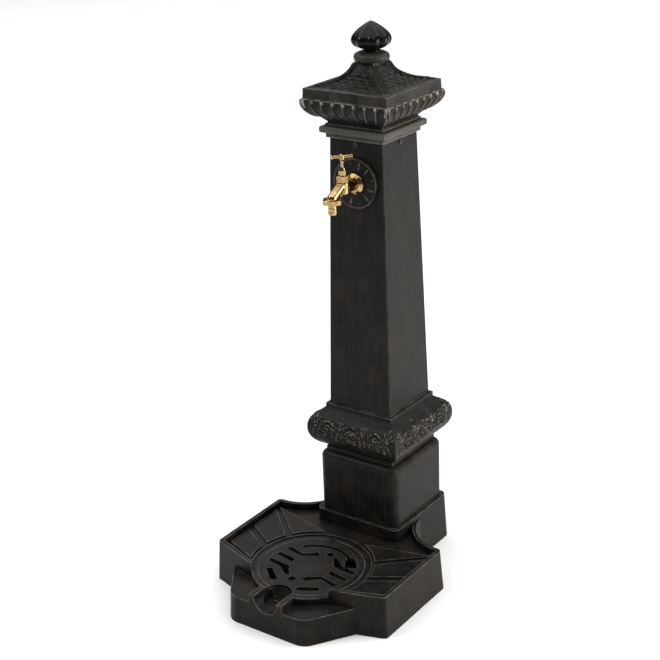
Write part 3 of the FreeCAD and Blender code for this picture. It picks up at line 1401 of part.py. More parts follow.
sub_parts = [basin_casting(), drain_grate(), *sump_waste(), plinth(), torus_moulding(), column_shaft(),
             collar_plate(), cap_screws(), capital(), roof(), neck_ring(), finial(), *tie_rod_set(),
             rosette(), wall_flange(), tap_body(), *back_fixing(), *headworks(), *jumper_set(), spindle(),
             handle_bar(), *hose_union(), *supply()]
document.recompute()
for item in document.Objects:
    if faults(item):
        raise ValueError(f"{item.Name} is {faults(item)}")
for item in sub_parts:
    if item.Shape.isNull() or not item.Shape.isValid():
        raise ValueError(f"{item.Label} has no valid shape")
os.makedirs("parts", exist_ok=True)
for item in sub_parts:
    item.Shape.exportStep(f"parts/{item.Label}.step")
    print(item.Label, len(item.Shape.Solids), round(item.Shape.Volume))
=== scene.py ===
import bmesh
import bpy
import math
from mathutils import Matrix, Vector
from mathutils.bvhtree import BVHTree


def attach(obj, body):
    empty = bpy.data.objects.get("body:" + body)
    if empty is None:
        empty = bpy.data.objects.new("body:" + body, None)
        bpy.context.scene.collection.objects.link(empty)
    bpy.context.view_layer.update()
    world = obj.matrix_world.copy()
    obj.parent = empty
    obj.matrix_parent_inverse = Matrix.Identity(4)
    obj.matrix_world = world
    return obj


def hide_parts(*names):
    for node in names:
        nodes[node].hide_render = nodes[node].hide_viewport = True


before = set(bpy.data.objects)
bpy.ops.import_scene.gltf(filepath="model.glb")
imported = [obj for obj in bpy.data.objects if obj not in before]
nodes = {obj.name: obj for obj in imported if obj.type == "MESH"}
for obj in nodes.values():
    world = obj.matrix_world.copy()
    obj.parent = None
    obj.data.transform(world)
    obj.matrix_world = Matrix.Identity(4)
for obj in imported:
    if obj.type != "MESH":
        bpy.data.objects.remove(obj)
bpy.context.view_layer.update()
MM = 0.001

# BASIN. One heavy casting in black-painted iron: two rimmed wings, the low lobe in front, the seat
# of the grate, the sump, the chute and the socket of the plinth. The paint is satin, and its raised
# edges are rubbed through to a grey brown.
BLACK_PAINT = (0.0040, 0.0039, 0.0037, 1)
GREY_BLOOM = (0.024, 0.0225, 0.0200, 1)
RUBBED_EDGE = (0.24, 0.220, 0.19, 1)
RUST_STAIN = (0.030, 0.0150, 0.0075, 1)
# Near black for the painted shade that fills crevices, slots and the gaps between scales.
CREVICE_SHADE_BLACK = (0.0016, 0.0015, 0.0014, 1)
PAINT_SPECULAR = 0.11
# The scale of each pattern in the paint, its detail and roughness, and the range that is kept of it.
CLOUDS = (26, 6, 0.65, 0.40, 0.72)
STREAKS = (420, 3, 0.7, 0.45, 0.75)
SPECKLE = (700, 2, 0.5, 0.52, 0.75)
STAINS = (13, 4, 0.6, 0.50, 0.70)
RUBS = (55, 4, 0.6, 0.30, 0.66)
FLECKS = (290, 3, 0.6, 0.50, 0.64)
CLOUD_SHARE = 0.45
STREAK_SHARE = 0.55
SPECKLE_SHARE = 0.25
# The relief of the sand mould and of the brush: scale, detail and roughness.
SAND_RELIEF = (420, 4, 0.7)
BRUSH_RELIEF = (260, 3, 0.6)
BRUSH_SHARE = 0.8
SKIN_DEPTH = 0.6 * MM
EVEN_GRAIN = (1, 1, 1)
# How open a place is where an edge begins and where it is full, and the same for the painted shade of a
# crevice.
EDGE_RANGE = (0.93, 0.62)
CREVICE_RANGE = (0.30, 0.85)
FEELER_RAYS = 8
JOINED_WITHIN = 0.002 * MM
LEVEL_WITHIN = math.radians(0.4)


def material_nodes(name):
    """A new material with its node tree and its shader."""
    material = bpy.data.materials.new(name)
    material.use_nodes = True
    tree = material.node_tree
    return material, tree, tree.nodes["Principled BSDF"]


def own_place(tree, scale=EVEN_GRAIN):
    """The piece's own coordinates, stretched for a pattern with a grain."""
    place = tree.nodes.new("ShaderNodeTexCoord")
    mapping = tree.nodes.new("ShaderNodeMapping")
    mapping.inputs["Scale"].default_value = scale
    tree.links.new(place.outputs["Object"], mapping.inputs["Vector"])
    return mapping.outputs["Vector"]


def noise(tree, place, scale, detail=4, roughness=0.6):
    """A cloudy pattern of a scale. A larger scale is a finer pattern."""
    texture = tree.nodes.new("ShaderNodeTexNoise")
    texture.inputs["Scale"].default_value = scale
    texture.inputs["Detail"].default_value = detail
    texture.inputs["Roughness"].default_value = roughness
    tree.links.new(place, texture.inputs["Vector"])
    return texture.outputs["Fac"]


def spread(tree, value, low, high, to_low=0.0, to_high=1.0):
    """A value stretched from one range to another and held inside it."""
    item = tree.nodes.new("ShaderNodeMapRange")
    for socket, amount in (("From Min", low), ("From Max", high), ("To Min", to_low), ("To Max", to_high)):
        item.inputs[socket].default_value = amount
    tree.links.new(value, item.inputs["Value"])
    return item.outputs["Result"]


def layer(tree, place, scale, detail, roughness, low, high):
    """A pattern with only a part of its range kept."""
    return spread(tree, noise(tree, place, scale, detail, roughness), low, high)


def times(tree, first, second, operation="MULTIPLY"):
    """Two values multiplied, or joined by another operation."""
    item = tree.nodes.new("ShaderNodeMath")
    item.operation = operation
    for socket, value in zip(item.inputs, (first, second)):
        if isinstance(value, (int, float)):
            socket.default_value = value
        else:
            tree.links.new(value, socket)
    return item.outputs["Value"]


def blended(tree, amount, first, second):
    """Two colours mixed by an amount. Each is a colour or another mix."""
    item = tree.nodes.new("ShaderNodeMix")
    item.data_type = "RGBA"
    tree.links.new(amount, item.inputs["Factor"])
    for socket, colour in ((item.inputs[6], first), (item.inputs[7], second)):
        if isinstance(colour, tuple):
            socket.default_value = colour
        else:
            tree.links.new(colour, socket)
    return item.outputs[2]


def feeler(tree, reach, inside):
    """How open a place is within the reach, outside the surface or inside it."""
    item = tree.nodes.new("ShaderNodeAmbientOcclusion")
    item.inside = inside
    item.only_local = True
    item.samples = FEELER_RAYS
    item.inputs["Distance"].default_value = reach
    return item.outputs["AO"]


def arrises(tree, reach):
    """One on outer edges, falling to nothing within the reach. It feels for the far side of the edge."""
    return spread(tree, feeler(tree, reach, True), *EDGE_RANGE)


def openness(tree, reach):
    """One on open faces, falling to nothing in crevices narrower than the reach. It masks the painted shade
    in crevices.
    """
    return spread(tree, feeler(tree, reach, False), *CREVICE_RANGE)


def grain_bump(tree, shader, height, strength, distance):
    """Gives a shader a fine relief."""
    bump = tree.nodes.new("ShaderNodeBump")
    bump.inputs["Strength"].default_value = strength
    bump.inputs["Distance"].default_value = distance
    tree.links.new(height, bump.inputs["Height"])
    tree.links.new(bump.outputs["Normal"], shader.inputs["Normal"])


def painted_iron(name, base=BLACK_PAINT, bloom=GREY_BLOOM, rub=RUBBED_EDGE, grain=(1, 1, 0.05),
                 wear=0.7, rough=(0.34, 0.56), edge=3 * MM, skin=0.45, rust=0.25, dabs=0.0, shade_reach=8 * MM):
    """Black paint on cast iron: cloudy bloom, streaks along the grain, rust, rubbed edges and dabs, and
    painted shade that darkens the crevices."""
    material, tree, shader = material_nodes(name)
    plain = own_place(tree)
    along_grain = own_place(tree, grain)
    veil = times(tree, times(tree, layer(tree, plain, *CLOUDS), CLOUD_SHARE),
                 times(tree, layer(tree, along_grain, *STREAKS), STREAK_SHARE), "ADD")
    veil = times(tree, veil, times(tree, layer(tree, plain, *SPECKLE), SPECKLE_SHARE), "ADD")
    paint = blended(tree, veil, base, bloom)
    paint = blended(tree, times(tree, layer(tree, plain, *STAINS), rust), paint, RUST_STAIN)
    rubbed = times(tree, arrises(tree, edge), layer(tree, plain, *RUBS))
    flecks = layer(tree, plain, *FLECKS)
    worn = times(tree, times(tree, rubbed, wear), times(tree, flecks, dabs), "MAXIMUM")
    # Painted shade: places that the outside feeler finds closed in are mixed toward near black.
    shade = blended(tree, openness(tree, shade_reach), CREVICE_SHADE_BLACK, blended(tree, worn, paint, rub))
    tree.links.new(shade, shader.inputs["Base Color"])
    tree.links.new(spread(tree, veil, 0, 1, *rough), shader.inputs["Roughness"])
    shader.inputs["Specular IOR Level"].default_value = PAINT_SPECULAR
    brushed = times(tree, noise(tree, along_grain, *BRUSH_RELIEF), BRUSH_SHARE)
    relief = times(tree, noise(tree, plain, *SAND_RELIEF), brushed, "ADD")
    grain_bump(tree, shader, relief, skin, SKIN_DEPTH)
    return material


def welded(node):
    """A copy of a solid's triangles, joined at their corners and merged where they are level."""
    mesh = bmesh.new()
    mesh.from_mesh(nodes[node].data)
    bmesh.ops.remove_doubles(mesh, verts=mesh.verts, dist=JOINED_WITHIN)
    bmesh.ops.dissolve_limit(mesh, angle_limit=LEVEL_WITHIN, verts=mesh.verts, edges=mesh.edges)
    return mesh


def soften(mesh, offset, segments=2, angle=28, chosen=None):
    """Rounds the arrises that turn by more than an angle, as a sand mould leaves them."""
    edges = [
        edge for edge in mesh.edges
        if edge.is_manifold and edge.calc_face_angle() > math.radians(angle)
        and (chosen is None or chosen(edge))
    ]
    bmesh.ops.bevel(mesh, geom=edges, offset=offset, offset_type="OFFSET", affect="EDGES", segments=segments,
                    profile=0.5, material=-1, clamp_overlap=True, loop_slide=True)


def finished(name, mesh, material, slot, *replaced, body="fountain", crease=38, weighted=True):
    """Makes the piece of a mesh, gives it its finish, and lets it ride on its body."""
    data = bpy.data.meshes.new(name)
    mesh.to_mesh(data)
    mesh.free()
    data.materials.append(material)
    data.polygons.foreach_set("use_smooth", [True] * len(data.polygons))
    data.set_sharp_from_angle(angle=math.radians(crease))
    piece = bpy.data.objects.new(name, data)
    bpy.context.scene.collection.objects.link(piece)
    if weighted:
        flats = piece.modifiers.new("Flats", "WEIGHTED_NORMAL")
        flats.keep_sharp = True
    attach(piece, body)
    if replaced:
        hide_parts(*replaced)
    return piece


def dressed(material, *names):
    """Gives solids that stay as they are their finish."""
    for name in names:
        data = nodes[name].data
        data.materials.clear()
        data.materials.append(material)


SHELF_TOP = 51 * MM
SHELF_MARGIN = 5 * MM
SHELF_DISH = 1.6 * MM
SHELF_NEAR = 0.2 * MM
LEVEL_FACE = 0.99
basin_paint = painted_iron("basin_black_paint", grain=(1, 1, 0.12), wear=0.55, edge=2.2 * MM, rust=0.4)
basin = welded("basin_casting")
shelves = [
    face for face in basin.faces
    if face.normal.z > LEVEL_FACE and abs(face.calc_center_median().z - SHELF_TOP) < SHELF_NEAR
]
bmesh.ops.inset_region(basin, faces=shelves, thickness=SHELF_MARGIN, depth=-SHELF_DISH, use_even_offset=True)
soften(basin, 1.6 * MM)
finished("basin_cast", basin, basin_paint, "black_iron", "basin_casting")

# GRATE. A loose round casting in the same paint, slotted in a turning pattern, with a plain
# stippled disc in the middle. It lifts out to clean the sump.
grate_paint = painted_iron("grate_black_paint", bloom=(0.030, 0.0285, 0.026, 1), wear=0.35, grain=EVEN_GRAIN,
                           edge=1.6 * MM, skin=0.7, rust=0.15, shade_reach=9 * MM)
grate = welded("drain_grate")
soften(grate, 0.7 * MM)
finished("grate_cast", grate, grate_paint, "black_iron", "drain_grate", body="grate")

# PLINTH. A square iron casting with well rounded shoulders, which stands in the socket of the basin.
# It is painted satin black, and the painter's brush ran up and down it.
plinth_paint = painted_iron("plinth_black_paint", bloom=(0.034, 0.031, 0.027, 1), grain=(1, 1, 0.03),
                            wear=0.3, edge=9 * MM)
plinth = welded("plinth")
finished("plinth_cast", plinth, plinth_paint, "black_iron", "plinth", crease=30)

# TORUS MOULDING. The swelling moulding between the plinth and the shaft, cast in iron and painted
# black. It has arches of scrolls and tufts of leaves in relief on its four sides, and mitred corners.
torus_paint = painted_iron("torus_black_paint", bloom=(0.030, 0.0285, 0.0255, 1), wear=0.5,
                           grain=EVEN_GRAIN, edge=2.2 * MM)
carving_paint = painted_iron("carving_black_paint", bloom=(0.06, 0.056, 0.050, 1), wear=0, grain=EVEN_GRAIN,
                             edge=0.3 * MM, dabs=0.9)
SWELL_FOOT = 73 * MM
SWELL_SINK = 0.08
MITRE_ROUND = 4 * MM
MITRE_FOOT = 70.5 * MM
MITRE_NEAR = 0.1 * MM


def on_mitre(edge):
    """Whether an edge lies on one of the four corners of the moulding."""
    return all(abs(abs(vertex.co.x) - abs(vertex.co.y)) < MITRE_NEAR and abs(vertex.co.x) > MITRE_FOOT
               for vertex in edge.verts)


torus = welded("torus_moulding")
for vertex in torus.verts:
    reach = max(abs(vertex.co.x), abs(vertex.co.y))
    if reach > SWELL_FOOT:
        keep = 1 - SWELL_SINK * (reach - SWELL_FOOT) / reach
        vertex.co.x *= keep
        vertex.co.y *= keep
torus_skin = BVHTree.FromBMesh(torus)
soften(torus, MITRE_ROUND, 4, 15, on_mitre)
finished("torus_cast", torus, torus_paint, "black_iron", "torus_moulding", crease=24)


def carved(name, splines, material, slot, turns=4, resolution=2):
    """Raised lines and leaves. Each spline is a list of (point, half thickness)."""
    curve = bpy.data.curves.new(name + "_lines", "CURVE")
    curve.dimensions = "3D"
    curve.bevel_depth = 1
    curve.bevel_resolution = 1
    curve.use_fill_caps = True
    curve.resolution_u = resolution
    for quarter in range(turns):
        turn = Matrix.Rotation(math.radians(90 * quarter), 3, "Z")
        for points in splines:
            spline = curve.splines.new("NURBS")
            spline.points.add(len(points) - 1)
            for item, (point, radius) in zip(spline.points, points):
                item.co = (*(turn @ point), 1)
                item.radius = radius
            spline.order_u = 3
            spline.use_endpoint_u = True
    holder = bpy.data.objects.new(name + "_lines", curve)
    data = bpy.data.meshes.new_from_object(holder)
    bpy.data.objects.remove(holder)
    mesh = bmesh.new()
    mesh.from_mesh(data)
    bpy.data.meshes.remove(data)
    bmesh.ops.recalc_face_normals(mesh, faces=mesh.faces)
    finished(name, mesh, material, slot, crease=60, weighted=False)


# The carving is drawn flat, in millimetres across a side and up it, and then laid on the moulding.
IN_FRONT = -300 * MM
RELIEF_FOOT = 247
RELIEF_STRETCH = 1.1
RELIEF_THICK = 1.2
RELIEF_TAPER = 0.6
END_SHARE = 0.02
ARCH_FOOT = 246
ARCH_CENTRES = (-52, 0, 52)
ARCHES = ((22.5, 31, 1.5), (17.8, 24.5, 1.2))
ARCH_TIP = 0.6
CURL_PLACE = (7.5, 253)
CURL_POINTS = 15
CURL_START = 200
CURL_TURN = 34
CURL_REACH = 9.5
CURL_TIGHTENS = 0.55
CURL_FLATTENED = (0.72, 0.85)
CURL_THICK = 1.35
CURL_TIP = 0.5
LEAF_FOOT = 262
LEAF_LEANS = (-0.9, -0.35, 0.35, 0.9)
LEAF_POINTS = 5
LEAF_SPREAD = 2.2
LEAF_RISE = 1.9
LEAF_LEAN_LOSS = 0.4
LEAF_THICK = 1.25
TUFT_CENTRES = (-78, -26, 26, 78)
TUFT_FOOT = 264
TUFT_LEANS = (-1.25, -0.65, 0, 0.65, 1.25)
BLADE_POINTS = 6
BLADE_SPREAD = 1.9
BLADE_CURL = 0.10
BLADE_RISE = 4.4
BLADE_LEAN_LOSS = 0.22
BLADE_DROOP = 0.12
BLADE_THICK = 1.9
BLADE_THINS = 0.3
BLADE_TIP = 0.3
STEM_TOP = 262
STEM_POINTS = 6
STEM_GAP = 2
STEM_SPREAD = 1.2
STEM_DROP = 3.4
STEM_THICK = 1.5
PLAIN_TIP = 0.35


def on_front(skin, across, height):
    """Where the front of a piece is at a place across it and a height, in millimetres."""
    spot, _, _, _ = skin.ray_cast(Vector((across * MM, IN_FRONT, height * MM)), Vector((0, 1, 0)))
    return spot


def torus_line(path, thick, tip=PLAIN_TIP):
    """A carved line that thins to its ends."""
    line = []
    for index, (across, height) in enumerate(path):
        share = min(max(index / (len(path) - 1), END_SHARE), 1 - END_SHARE)
        swell = tip + (1 - tip) * math.sin(math.pi * share) ** RELIEF_TAPER
        spot = on_front(torus_skin, across, RELIEF_FOOT + (height - ARCH_FOOT) * RELIEF_STRETCH)
        line.append((spot, thick * swell * RELIEF_THICK * MM))
    return line


def arch(centre, reach, rise):
    """A half ellipse that stands on the foot of the carving."""
    angles = [math.radians(degrees) for degrees in range(0, 181, 15)]
    return [(centre - reach * math.cos(angle), ARCH_FOOT + rise * math.sin(angle)) for angle in angles]


def curl(centre, side):
    """A scroll that winds inward beside the middle of an arch."""
    path = []
    for step in range(CURL_POINTS):
        angle = math.radians(CURL_START - step * CURL_TURN)
        away = CURL_REACH - step * CURL_TIGHTENS
        across = CURL_PLACE[0] + away * math.cos(angle) * CURL_FLATTENED[0]
        path.append((centre + side * across, CURL_PLACE[1] + away * math.sin(angle) * CURL_FLATTENED[1]))
    return path


def leaf(centre, lean):
    """A short leaf inside an arch. It is lower as it leans more."""
    rise = LEAF_RISE - abs(lean) * LEAF_LEAN_LOSS
    return [(centre + lean * step * LEAF_SPREAD, LEAF_FOOT + step * rise) for step in range(LEAF_POINTS)]


def blade(centre, lean):
    """A long leaf of a tuft, bent outward and down by its lean."""
    rise = BLADE_RISE * (1 - BLADE_LEAN_LOSS * abs(lean))
    path = []
    for step in range(BLADE_POINTS):
        across = centre + lean * (step * BLADE_SPREAD + BLADE_CURL * step * step)
        path.append((across, TUFT_FOOT + step * rise - BLADE_DROOP * abs(lean) * step * step))
    return path


def stem(centre, side):
    """A stem of a tuft, from its middle down to the foot of the carving."""
    return [
        (centre + side * (STEM_GAP + step * STEM_SPREAD), STEM_TOP - step * STEM_DROP)
        for step in range(STEM_POINTS)
    ]


arch_lines = []
for centre in ARCH_CENTRES:
    arch_lines += [torus_line(arch(centre, reach, rise), thick, ARCH_TIP) for reach, rise, thick in ARCHES]
    arch_lines += [torus_line(curl(centre, side), CURL_THICK, CURL_TIP) for side in (-1, 1)]
    arch_lines += [torus_line(leaf(centre, lean), LEAF_THICK) for lean in LEAF_LEANS]
for centre in TUFT_CENTRES:
    for lean in TUFT_LEANS:
        thick = BLADE_THICK - BLADE_THINS * abs(lean)
        arch_lines.append(torus_line(blade(centre, lean), thick, BLADE_TIP))
    arch_lines += [torus_line(stem(centre, side), STEM_THICK) for side in (-1, 1)]
carved("torus_carving", arch_lines, carving_paint, "black_iron")

# SHAFT. The tall tapered tube, cast in iron and painted black, which stands on the torus moulding.
# Its front is mottled by the mould, and its sides are streaked upward.
shaft_paint = painted_iron("shaft_black_paint", grain=(1, 1, 0.012), wear=0.6, edge=3 * MM, skin=0.6)
shaft = welded("column_shaft")
finished("shaft_cast", shaft, shaft_paint, "black_iron", "column_shaft", crease=24)

# COLLAR. The stepped plate on the shaft's head, greyer than the rest where hands have rubbed it.
# Four small black screws hold its spigot in the shaft.
collar_paint = painted_iron("collar_grey_paint", base=(0.045, 0.043, 0.039, 1), bloom=(0.14, 0.134, 0.122, 1),
                            wear=0.7, grain=EVEN_GRAIN)
collar = welded("collar_plate")
soften(collar, 1.3 * MM)
finished("collar_cast", collar, collar_paint, "plate_grey", "collar_plate")
screw_black = painted_iron("screw_black_oxide", wear=1, grain=EVEN_GRAIN, edge=1.6 * MM)
screws = welded("cap_screws")
soften(screws, 0.5 * MM)
finished("screws_turned", screws, screw_black, "dark_steel", "cap_screws")

# CAPITAL. The broad moulding between the collar and the roof, cast in iron and painted black. Each
# side has eight hollow flutes, a thin ridge between each two and a bead at the head of each ridge.
# Its rubbed edges take a lighter grey than elsewhere: partly wear, partly a painted highlight on the beads
# and ridges.
capital_paint = painted_iron("capital_black_paint", wear=0.85, grain=(1, 1, 0.3), edge=1.8 * MM, shade_reach=7 * MM,
                             rub=(0.42, 0.39, 0.34, 1), bloom=(0.034, 0.032, 0.029, 1))
capital = welded("capital")
OVOLO_FOOT = 842 * MM
OVOLO_REACH = 60 * MM
FLUTE_SINK = 2 * MM
for vertex in capital.verts:
    reach = max(abs(vertex.co.x), abs(vertex.co.y))
    if vertex.co.z > OVOLO_FOOT and reach > OVOLO_REACH:
        vertex.co.x *= 1 - FLUTE_SINK / reach
        vertex.co.y *= 1 - FLUTE_SINK / reach
soften(capital, 1.2 * MM, 2, 35)
finished("capital_cast", capital, capital_paint, "black_iron", "capital", crease=30)

# The flutes, in millimetres. The profile runs from the head of the ovolo down to its foot, and the
# ridges fade toward both ends of it.
FLUTES = 8
STEPS_ACROSS = 12
STEPS_DOWN = 18
ARCH_DROP = 8
RIDGE = 2.8
RIDGE_FLAT = 0.5
RIDGE_SHARPNESS = 4.5
FOOT_FADE = 0.18
HEAD_FADE = 4
HEAD_HEIGHT = 0.3
FOOT_RIDGE = 0.75
RIDGE_GAIN = 0.5
FLUTE_SKIN = 0.15
BACKING = 6
BEAD = 2.2
BEAD_SHARE = 0.09
CAPITAL_PROFILE = [
    (87.6, 876), (88.5, 869.5), (87.3, 864), (84.2, 858), (80, 852.8), (74.4, 848), (69, 844.4), (65, 842.2),
]


def along(profile, share):
    """The place, the outward slope and the length run at a share of a profile's length."""
    legs = [math.dist(*pair) for pair in zip(profile, profile[1:])]
    run = share * sum(legs)
    passed = 0
    for (start, end), leg in zip(zip(profile, profile[1:]), legs):
        if run <= passed + leg + 1e-6:
            part = (run - passed) / leg
            break
        passed += leg
    place = [start[index] + (end[index] - start[index]) * part for index in (0, 1)]
    return place, ((start[1] - end[1]) / leg, (end[0] - start[0]) / leg), run


def ridge_height(across, down, half_pitch, share):
    """How far the fluted face stands out. Each flute is hollow, with an arch at its head."""
    reach = math.hypot(across, ARCH_DROP - down) if down < ARCH_DROP else abs(across)
    rim = min(reach / (half_pitch - RIDGE_FLAT), 1) ** RIDGE_SHARPNESS
    fade = min(1, (1 - share) / FOOT_FADE, HEAD_HEIGHT + down / HEAD_FADE)
    return FLUTE_SKIN + RIDGE * rim * fade * (FOOT_RIDGE + RIDGE_GAIN * (1 - share))


def fluted_sheet(mesh, turn, backing):
    """A grid of vertices over one side: the fluted face, or the level back inside the casting."""
    sheet = []
    for row in range(STEPS_DOWN + 1):
        share = row / STEPS_DOWN
        (half, height), (out, lift), down = along(CAPITAL_PROFILE, share)
        line = []
        for column in range(COLUMNS + 1):
            across = (column % STEPS_ACROSS / STEPS_ACROSS - 0.5) * 2 * half / FLUTES
            rise = -BACKING if backing else ridge_height(across, down, half / FLUTES, share)
            place = Vector(((column / COLUMNS * 2 - 1) * half, -(half + out * rise), height + lift * rise))
            line.append(mesh.verts.new(turn @ (place * MM)))
        sheet.append(line)
    return sheet


COLUMNS = FLUTES * STEPS_ACROSS
flutes = bmesh.new()
for quarter in range(4):
    turn = Matrix.Rotation(math.radians(90 * quarter), 3, "Z")
    face, back = [fluted_sheet(flutes, turn, backing) for backing in (False, True)]
    for sheet in (face, back):
        for upper, lower in zip(sheet, sheet[1:]):
            for column in range(COLUMNS):
                flutes.faces.new([upper[column], lower[column], lower[column + 1], upper[column + 1]])
    for row in range(STEPS_DOWN):
        for column in (0, COLUMNS):
            flutes.faces.new([sheet[place][column] for sheet, place in
                              ((face, row), (back, row), (back, row + 1), (face, row + 1))])
    for column in range(COLUMNS):
        for row in (0, STEPS_DOWN):
            flutes.faces.new([sheet[row][place] for sheet, place in
                              ((face, column), (face, column + 1), (back, column + 1), (back, column))])
    (half, height), (out, lift), _ = along(CAPITAL_PROFILE, BEAD_SHARE)
    for ridge in range(FLUTES + 1):
        across = (ridge / FLUTES * 2 - 1) * (half - BEAD)
        place = Vector((across, -(half + out * RIDGE * 0.5), height + lift * RIDGE * 0.5)) * MM
        at = Matrix.Translation(turn @ place)
        bmesh.ops.create_icosphere(flutes, subdivisions=2, radius=BEAD * MM, matrix=at)
bmesh.ops.recalc_face_normals(flutes, faces=flutes.faces)
finished("capital_flutes", flutes, capital_paint, "black_iron", weighted=False, crease=50)

# ROOF. A low hollow-sided roof with a flat eave, cast in iron and painted black, which the tie rod
# pulls down on the capital. It has rows of round-ended scales and a double rib on each hip.
roof_paint = painted_iron("roof_black_paint", bloom=(0.075, 0.071, 0.065, 1), wear=0.65, grain=EVEN_GRAIN,
                          edge=2.4 * MM)
scale_paint = painted_iron("scale_black_paint", wear=0.75, grain=EVEN_GRAIN, edge=0.7 * MM, shade_reach=3 * MM)
# The lips of the scales are painted lighter grey, a painted highlight where light catches the rims, with some
# rubbed flecks.
lip_highlight_paint = painted_iron("scale_lip_highlight_paint", base=(0.020, 0.019, 0.0175, 1), bloom=(0.13, 0.123, 0.112, 1),
                         wear=0, grain=EVEN_GRAIN, dabs=0.35, shade_reach=2 * MM)
roof = welded("roof")
soften(roof, 1.0 * MM, 2, 30)
finished("roof_cast", roof, roof_paint, "black_iron", "roof", crease=26)

# Each row of scales, in millimetres: how far out from the axis it lies, and half the length of a scale.
SCALE_ROWS = [(23.5, 5.5), (28, 7.5), (34.5, 8.5), (42, 8.5), (50, 8.5), (58, 8.0), (65.5, 7.5)]
SCALE_WIDTH = 17.5
SCALE_FILL = 0.49
SCALE_BEVEL = 0.88
SCALE_THICK = 1.5
SCALE_LIFT = 0.1
SCALE_TILT = Matrix.Rotation(math.radians(-14), 3, "X")
HIP_MARGIN = 6
HIP_OVERLAP = 0.30
LIP_ACROSS = 0.46
LIP_DOWN = 0.95
LIP_RADIUS = 0.8
LIP_ANGLES = [math.radians(degrees) for degrees in range(180, 361, 30)]
ABOVE = 1100 * MM
DOWNWARD = Vector((0, 0, -1))
RIGHTWARD = Vector((1, 0, 0))


def surface_of(node):
    """A tree of the solid's faces, to find where a line meets it."""
    mesh = bmesh.new()
    mesh.from_mesh(nodes[node].data)
    tree = BVHTree.FromBMesh(mesh)
    mesh.free()
    return tree


roof_skin = surface_of("roof")
scales = bmesh.new()
scale_lips = []
for quarter in range(4):
    turn = Matrix.Rotation(math.radians(90 * quarter), 4, "Z")
    for row, (out, length) in enumerate(SCALE_ROWS):
        size = Matrix.Diagonal((SCALE_WIDTH * SCALE_FILL * MM, length * MM, SCALE_THICK * MM, 1))
        for place in range(-5, 6):
            across = (place + (row % 2) / 2) * SCALE_WIDTH
            if abs(across) > out - HIP_MARGIN - SCALE_WIDTH * HIP_OVERLAP:
                continue
            spot, normal, _, _ = roof_skin.ray_cast(Vector((across * MM, -out * MM, ABOVE)), DOWNWARD)
            upslope = normal.cross(RIGHTWARD)
            axes = Matrix((RIGHTWARD, upslope, normal)).transposed() @ SCALE_TILT
            set_in = turn @ Matrix.Translation(spot + normal * SCALE_LIFT * MM) @ axes.to_4x4()
            bmesh.ops.create_cone(scales, cap_ends=True, segments=18, radius1=1, radius2=SCALE_BEVEL,
                                  depth=1, matrix=set_in @ size)
            lip = []
            for angle in LIP_ANGLES:
                sideways = SCALE_WIDTH * LIP_ACROSS * math.cos(angle)
                rim = Vector((sideways, length * LIP_DOWN * math.sin(angle), SCALE_THICK / 2))
                lip.append((set_in @ (rim * MM), LIP_RADIUS * MM))
            scale_lips.append(lip)
finished("roof_scales", scales, scale_paint, "black_iron", weighted=False, crease=30)
carved("roof_scale_lips", scale_lips, lip_highlight_paint, "black_iron", turns=1, resolution=1)

HIP_OFFSETS = (-3.2, 3.2)
HIP_PLACES = (22.5, 24.5, 28, 33, 40, 48, 56, 64, 71)
HIP_RADIUS = 1.7
hip_lines = []
for offset in HIP_OFFSETS:
    shift = offset / math.sqrt(2)
    line = []
    for out in HIP_PLACES:
        spot, _, _, _ = roof_skin.ray_cast(Vector(((out + shift) * MM, -(out - shift) * MM, ABOVE)), DOWNWARD)
        line.append((spot, HIP_RADIUS * MM))
    hip_lines.append(line)
carved("roof_hip_ribs", hip_lines, scale_paint, "black_iron")

# NECK RING. A plain turned iron ring between the roof and the bud, which covers the roof's nut. Its
# black paint is glossier than the rest, and worn grey on its swell.
ring_paint = painted_iron("neck_ring_paint", base=(0.022, 0.0214, 0.0196, 1), bloom=(0.085, 0.081, 0.074, 1),
                          wear=0.6, grain=EVEN_GRAIN, rough=(0.24, 0.42))
neck_ring = welded("neck_ring")
finished("neck_ring_cast", neck_ring, ring_paint, "black_iron", "neck_ring", crease=50)

# BUD. The finial on top, a pointed bud of eight lobes. It is cast in iron, enamelled glossy black and
# screwed down on the end of the tie rod. Its outline is half widths and heights, in millimetres.
BUD_PROFILE = [
    (5, 949.2), (12.5, 949.2), (12.3, 950.6), (14.5, 952.6), (18.5, 954.0), (24.5, 956.2), (29.8, 959.0),
    (33.2, 962.4), (34.7, 966.4), (34.8, 970.4), (33.4, 974.6), (30.6, 978.8), (26.6, 983.0), (22.0, 987.0),
    (17.0, 990.8), (11.8, 994.2), (7.2, 997.0), (3.4, 999.0), (0, 1000),
]
BUD_LOBES = 8
LOBE_STEPS = 10
LOBE_TURN = math.radians(5)
LOBE_DEPTH = 0.14
LOBE_SHARPNESS = 0.8
LOBE_FULL_RADIUS = 26 * MM
STALK_RADIUS = 13 * MM
STALK_TOP = 960 * MM
TIP_WITHIN = 0.01 * MM


def plain_finish(name, pattern, kept, colours, rough, relief, mark_stretch=EVEN_GRAIN,
                 cloud_stretch=EVEN_GRAIN, metallic=0.0, specular=0.5):
    """A clouded finish. The pattern is the scale, detail and roughness of its clouds. The relief is
    the scale, detail, strength and depth of its fine marks."""
    material, tree, shader = material_nodes(name)
    cloud = layer(tree, own_place(tree, cloud_stretch), *pattern, *kept)
    tree.links.new(blended(tree, cloud, *colours), shader.inputs["Base Color"])
    tree.links.new(spread(tree, cloud, 0, 1, *rough), shader.inputs["Roughness"])
    shader.inputs["Metallic"].default_value = metallic
    shader.inputs["Specular IOR Level"].default_value = specular
    scale, detail, strength, depth = relief
    grain_bump(tree, shader, noise(tree, own_place(tree, mark_stretch), scale, detail), strength, depth)
    return material


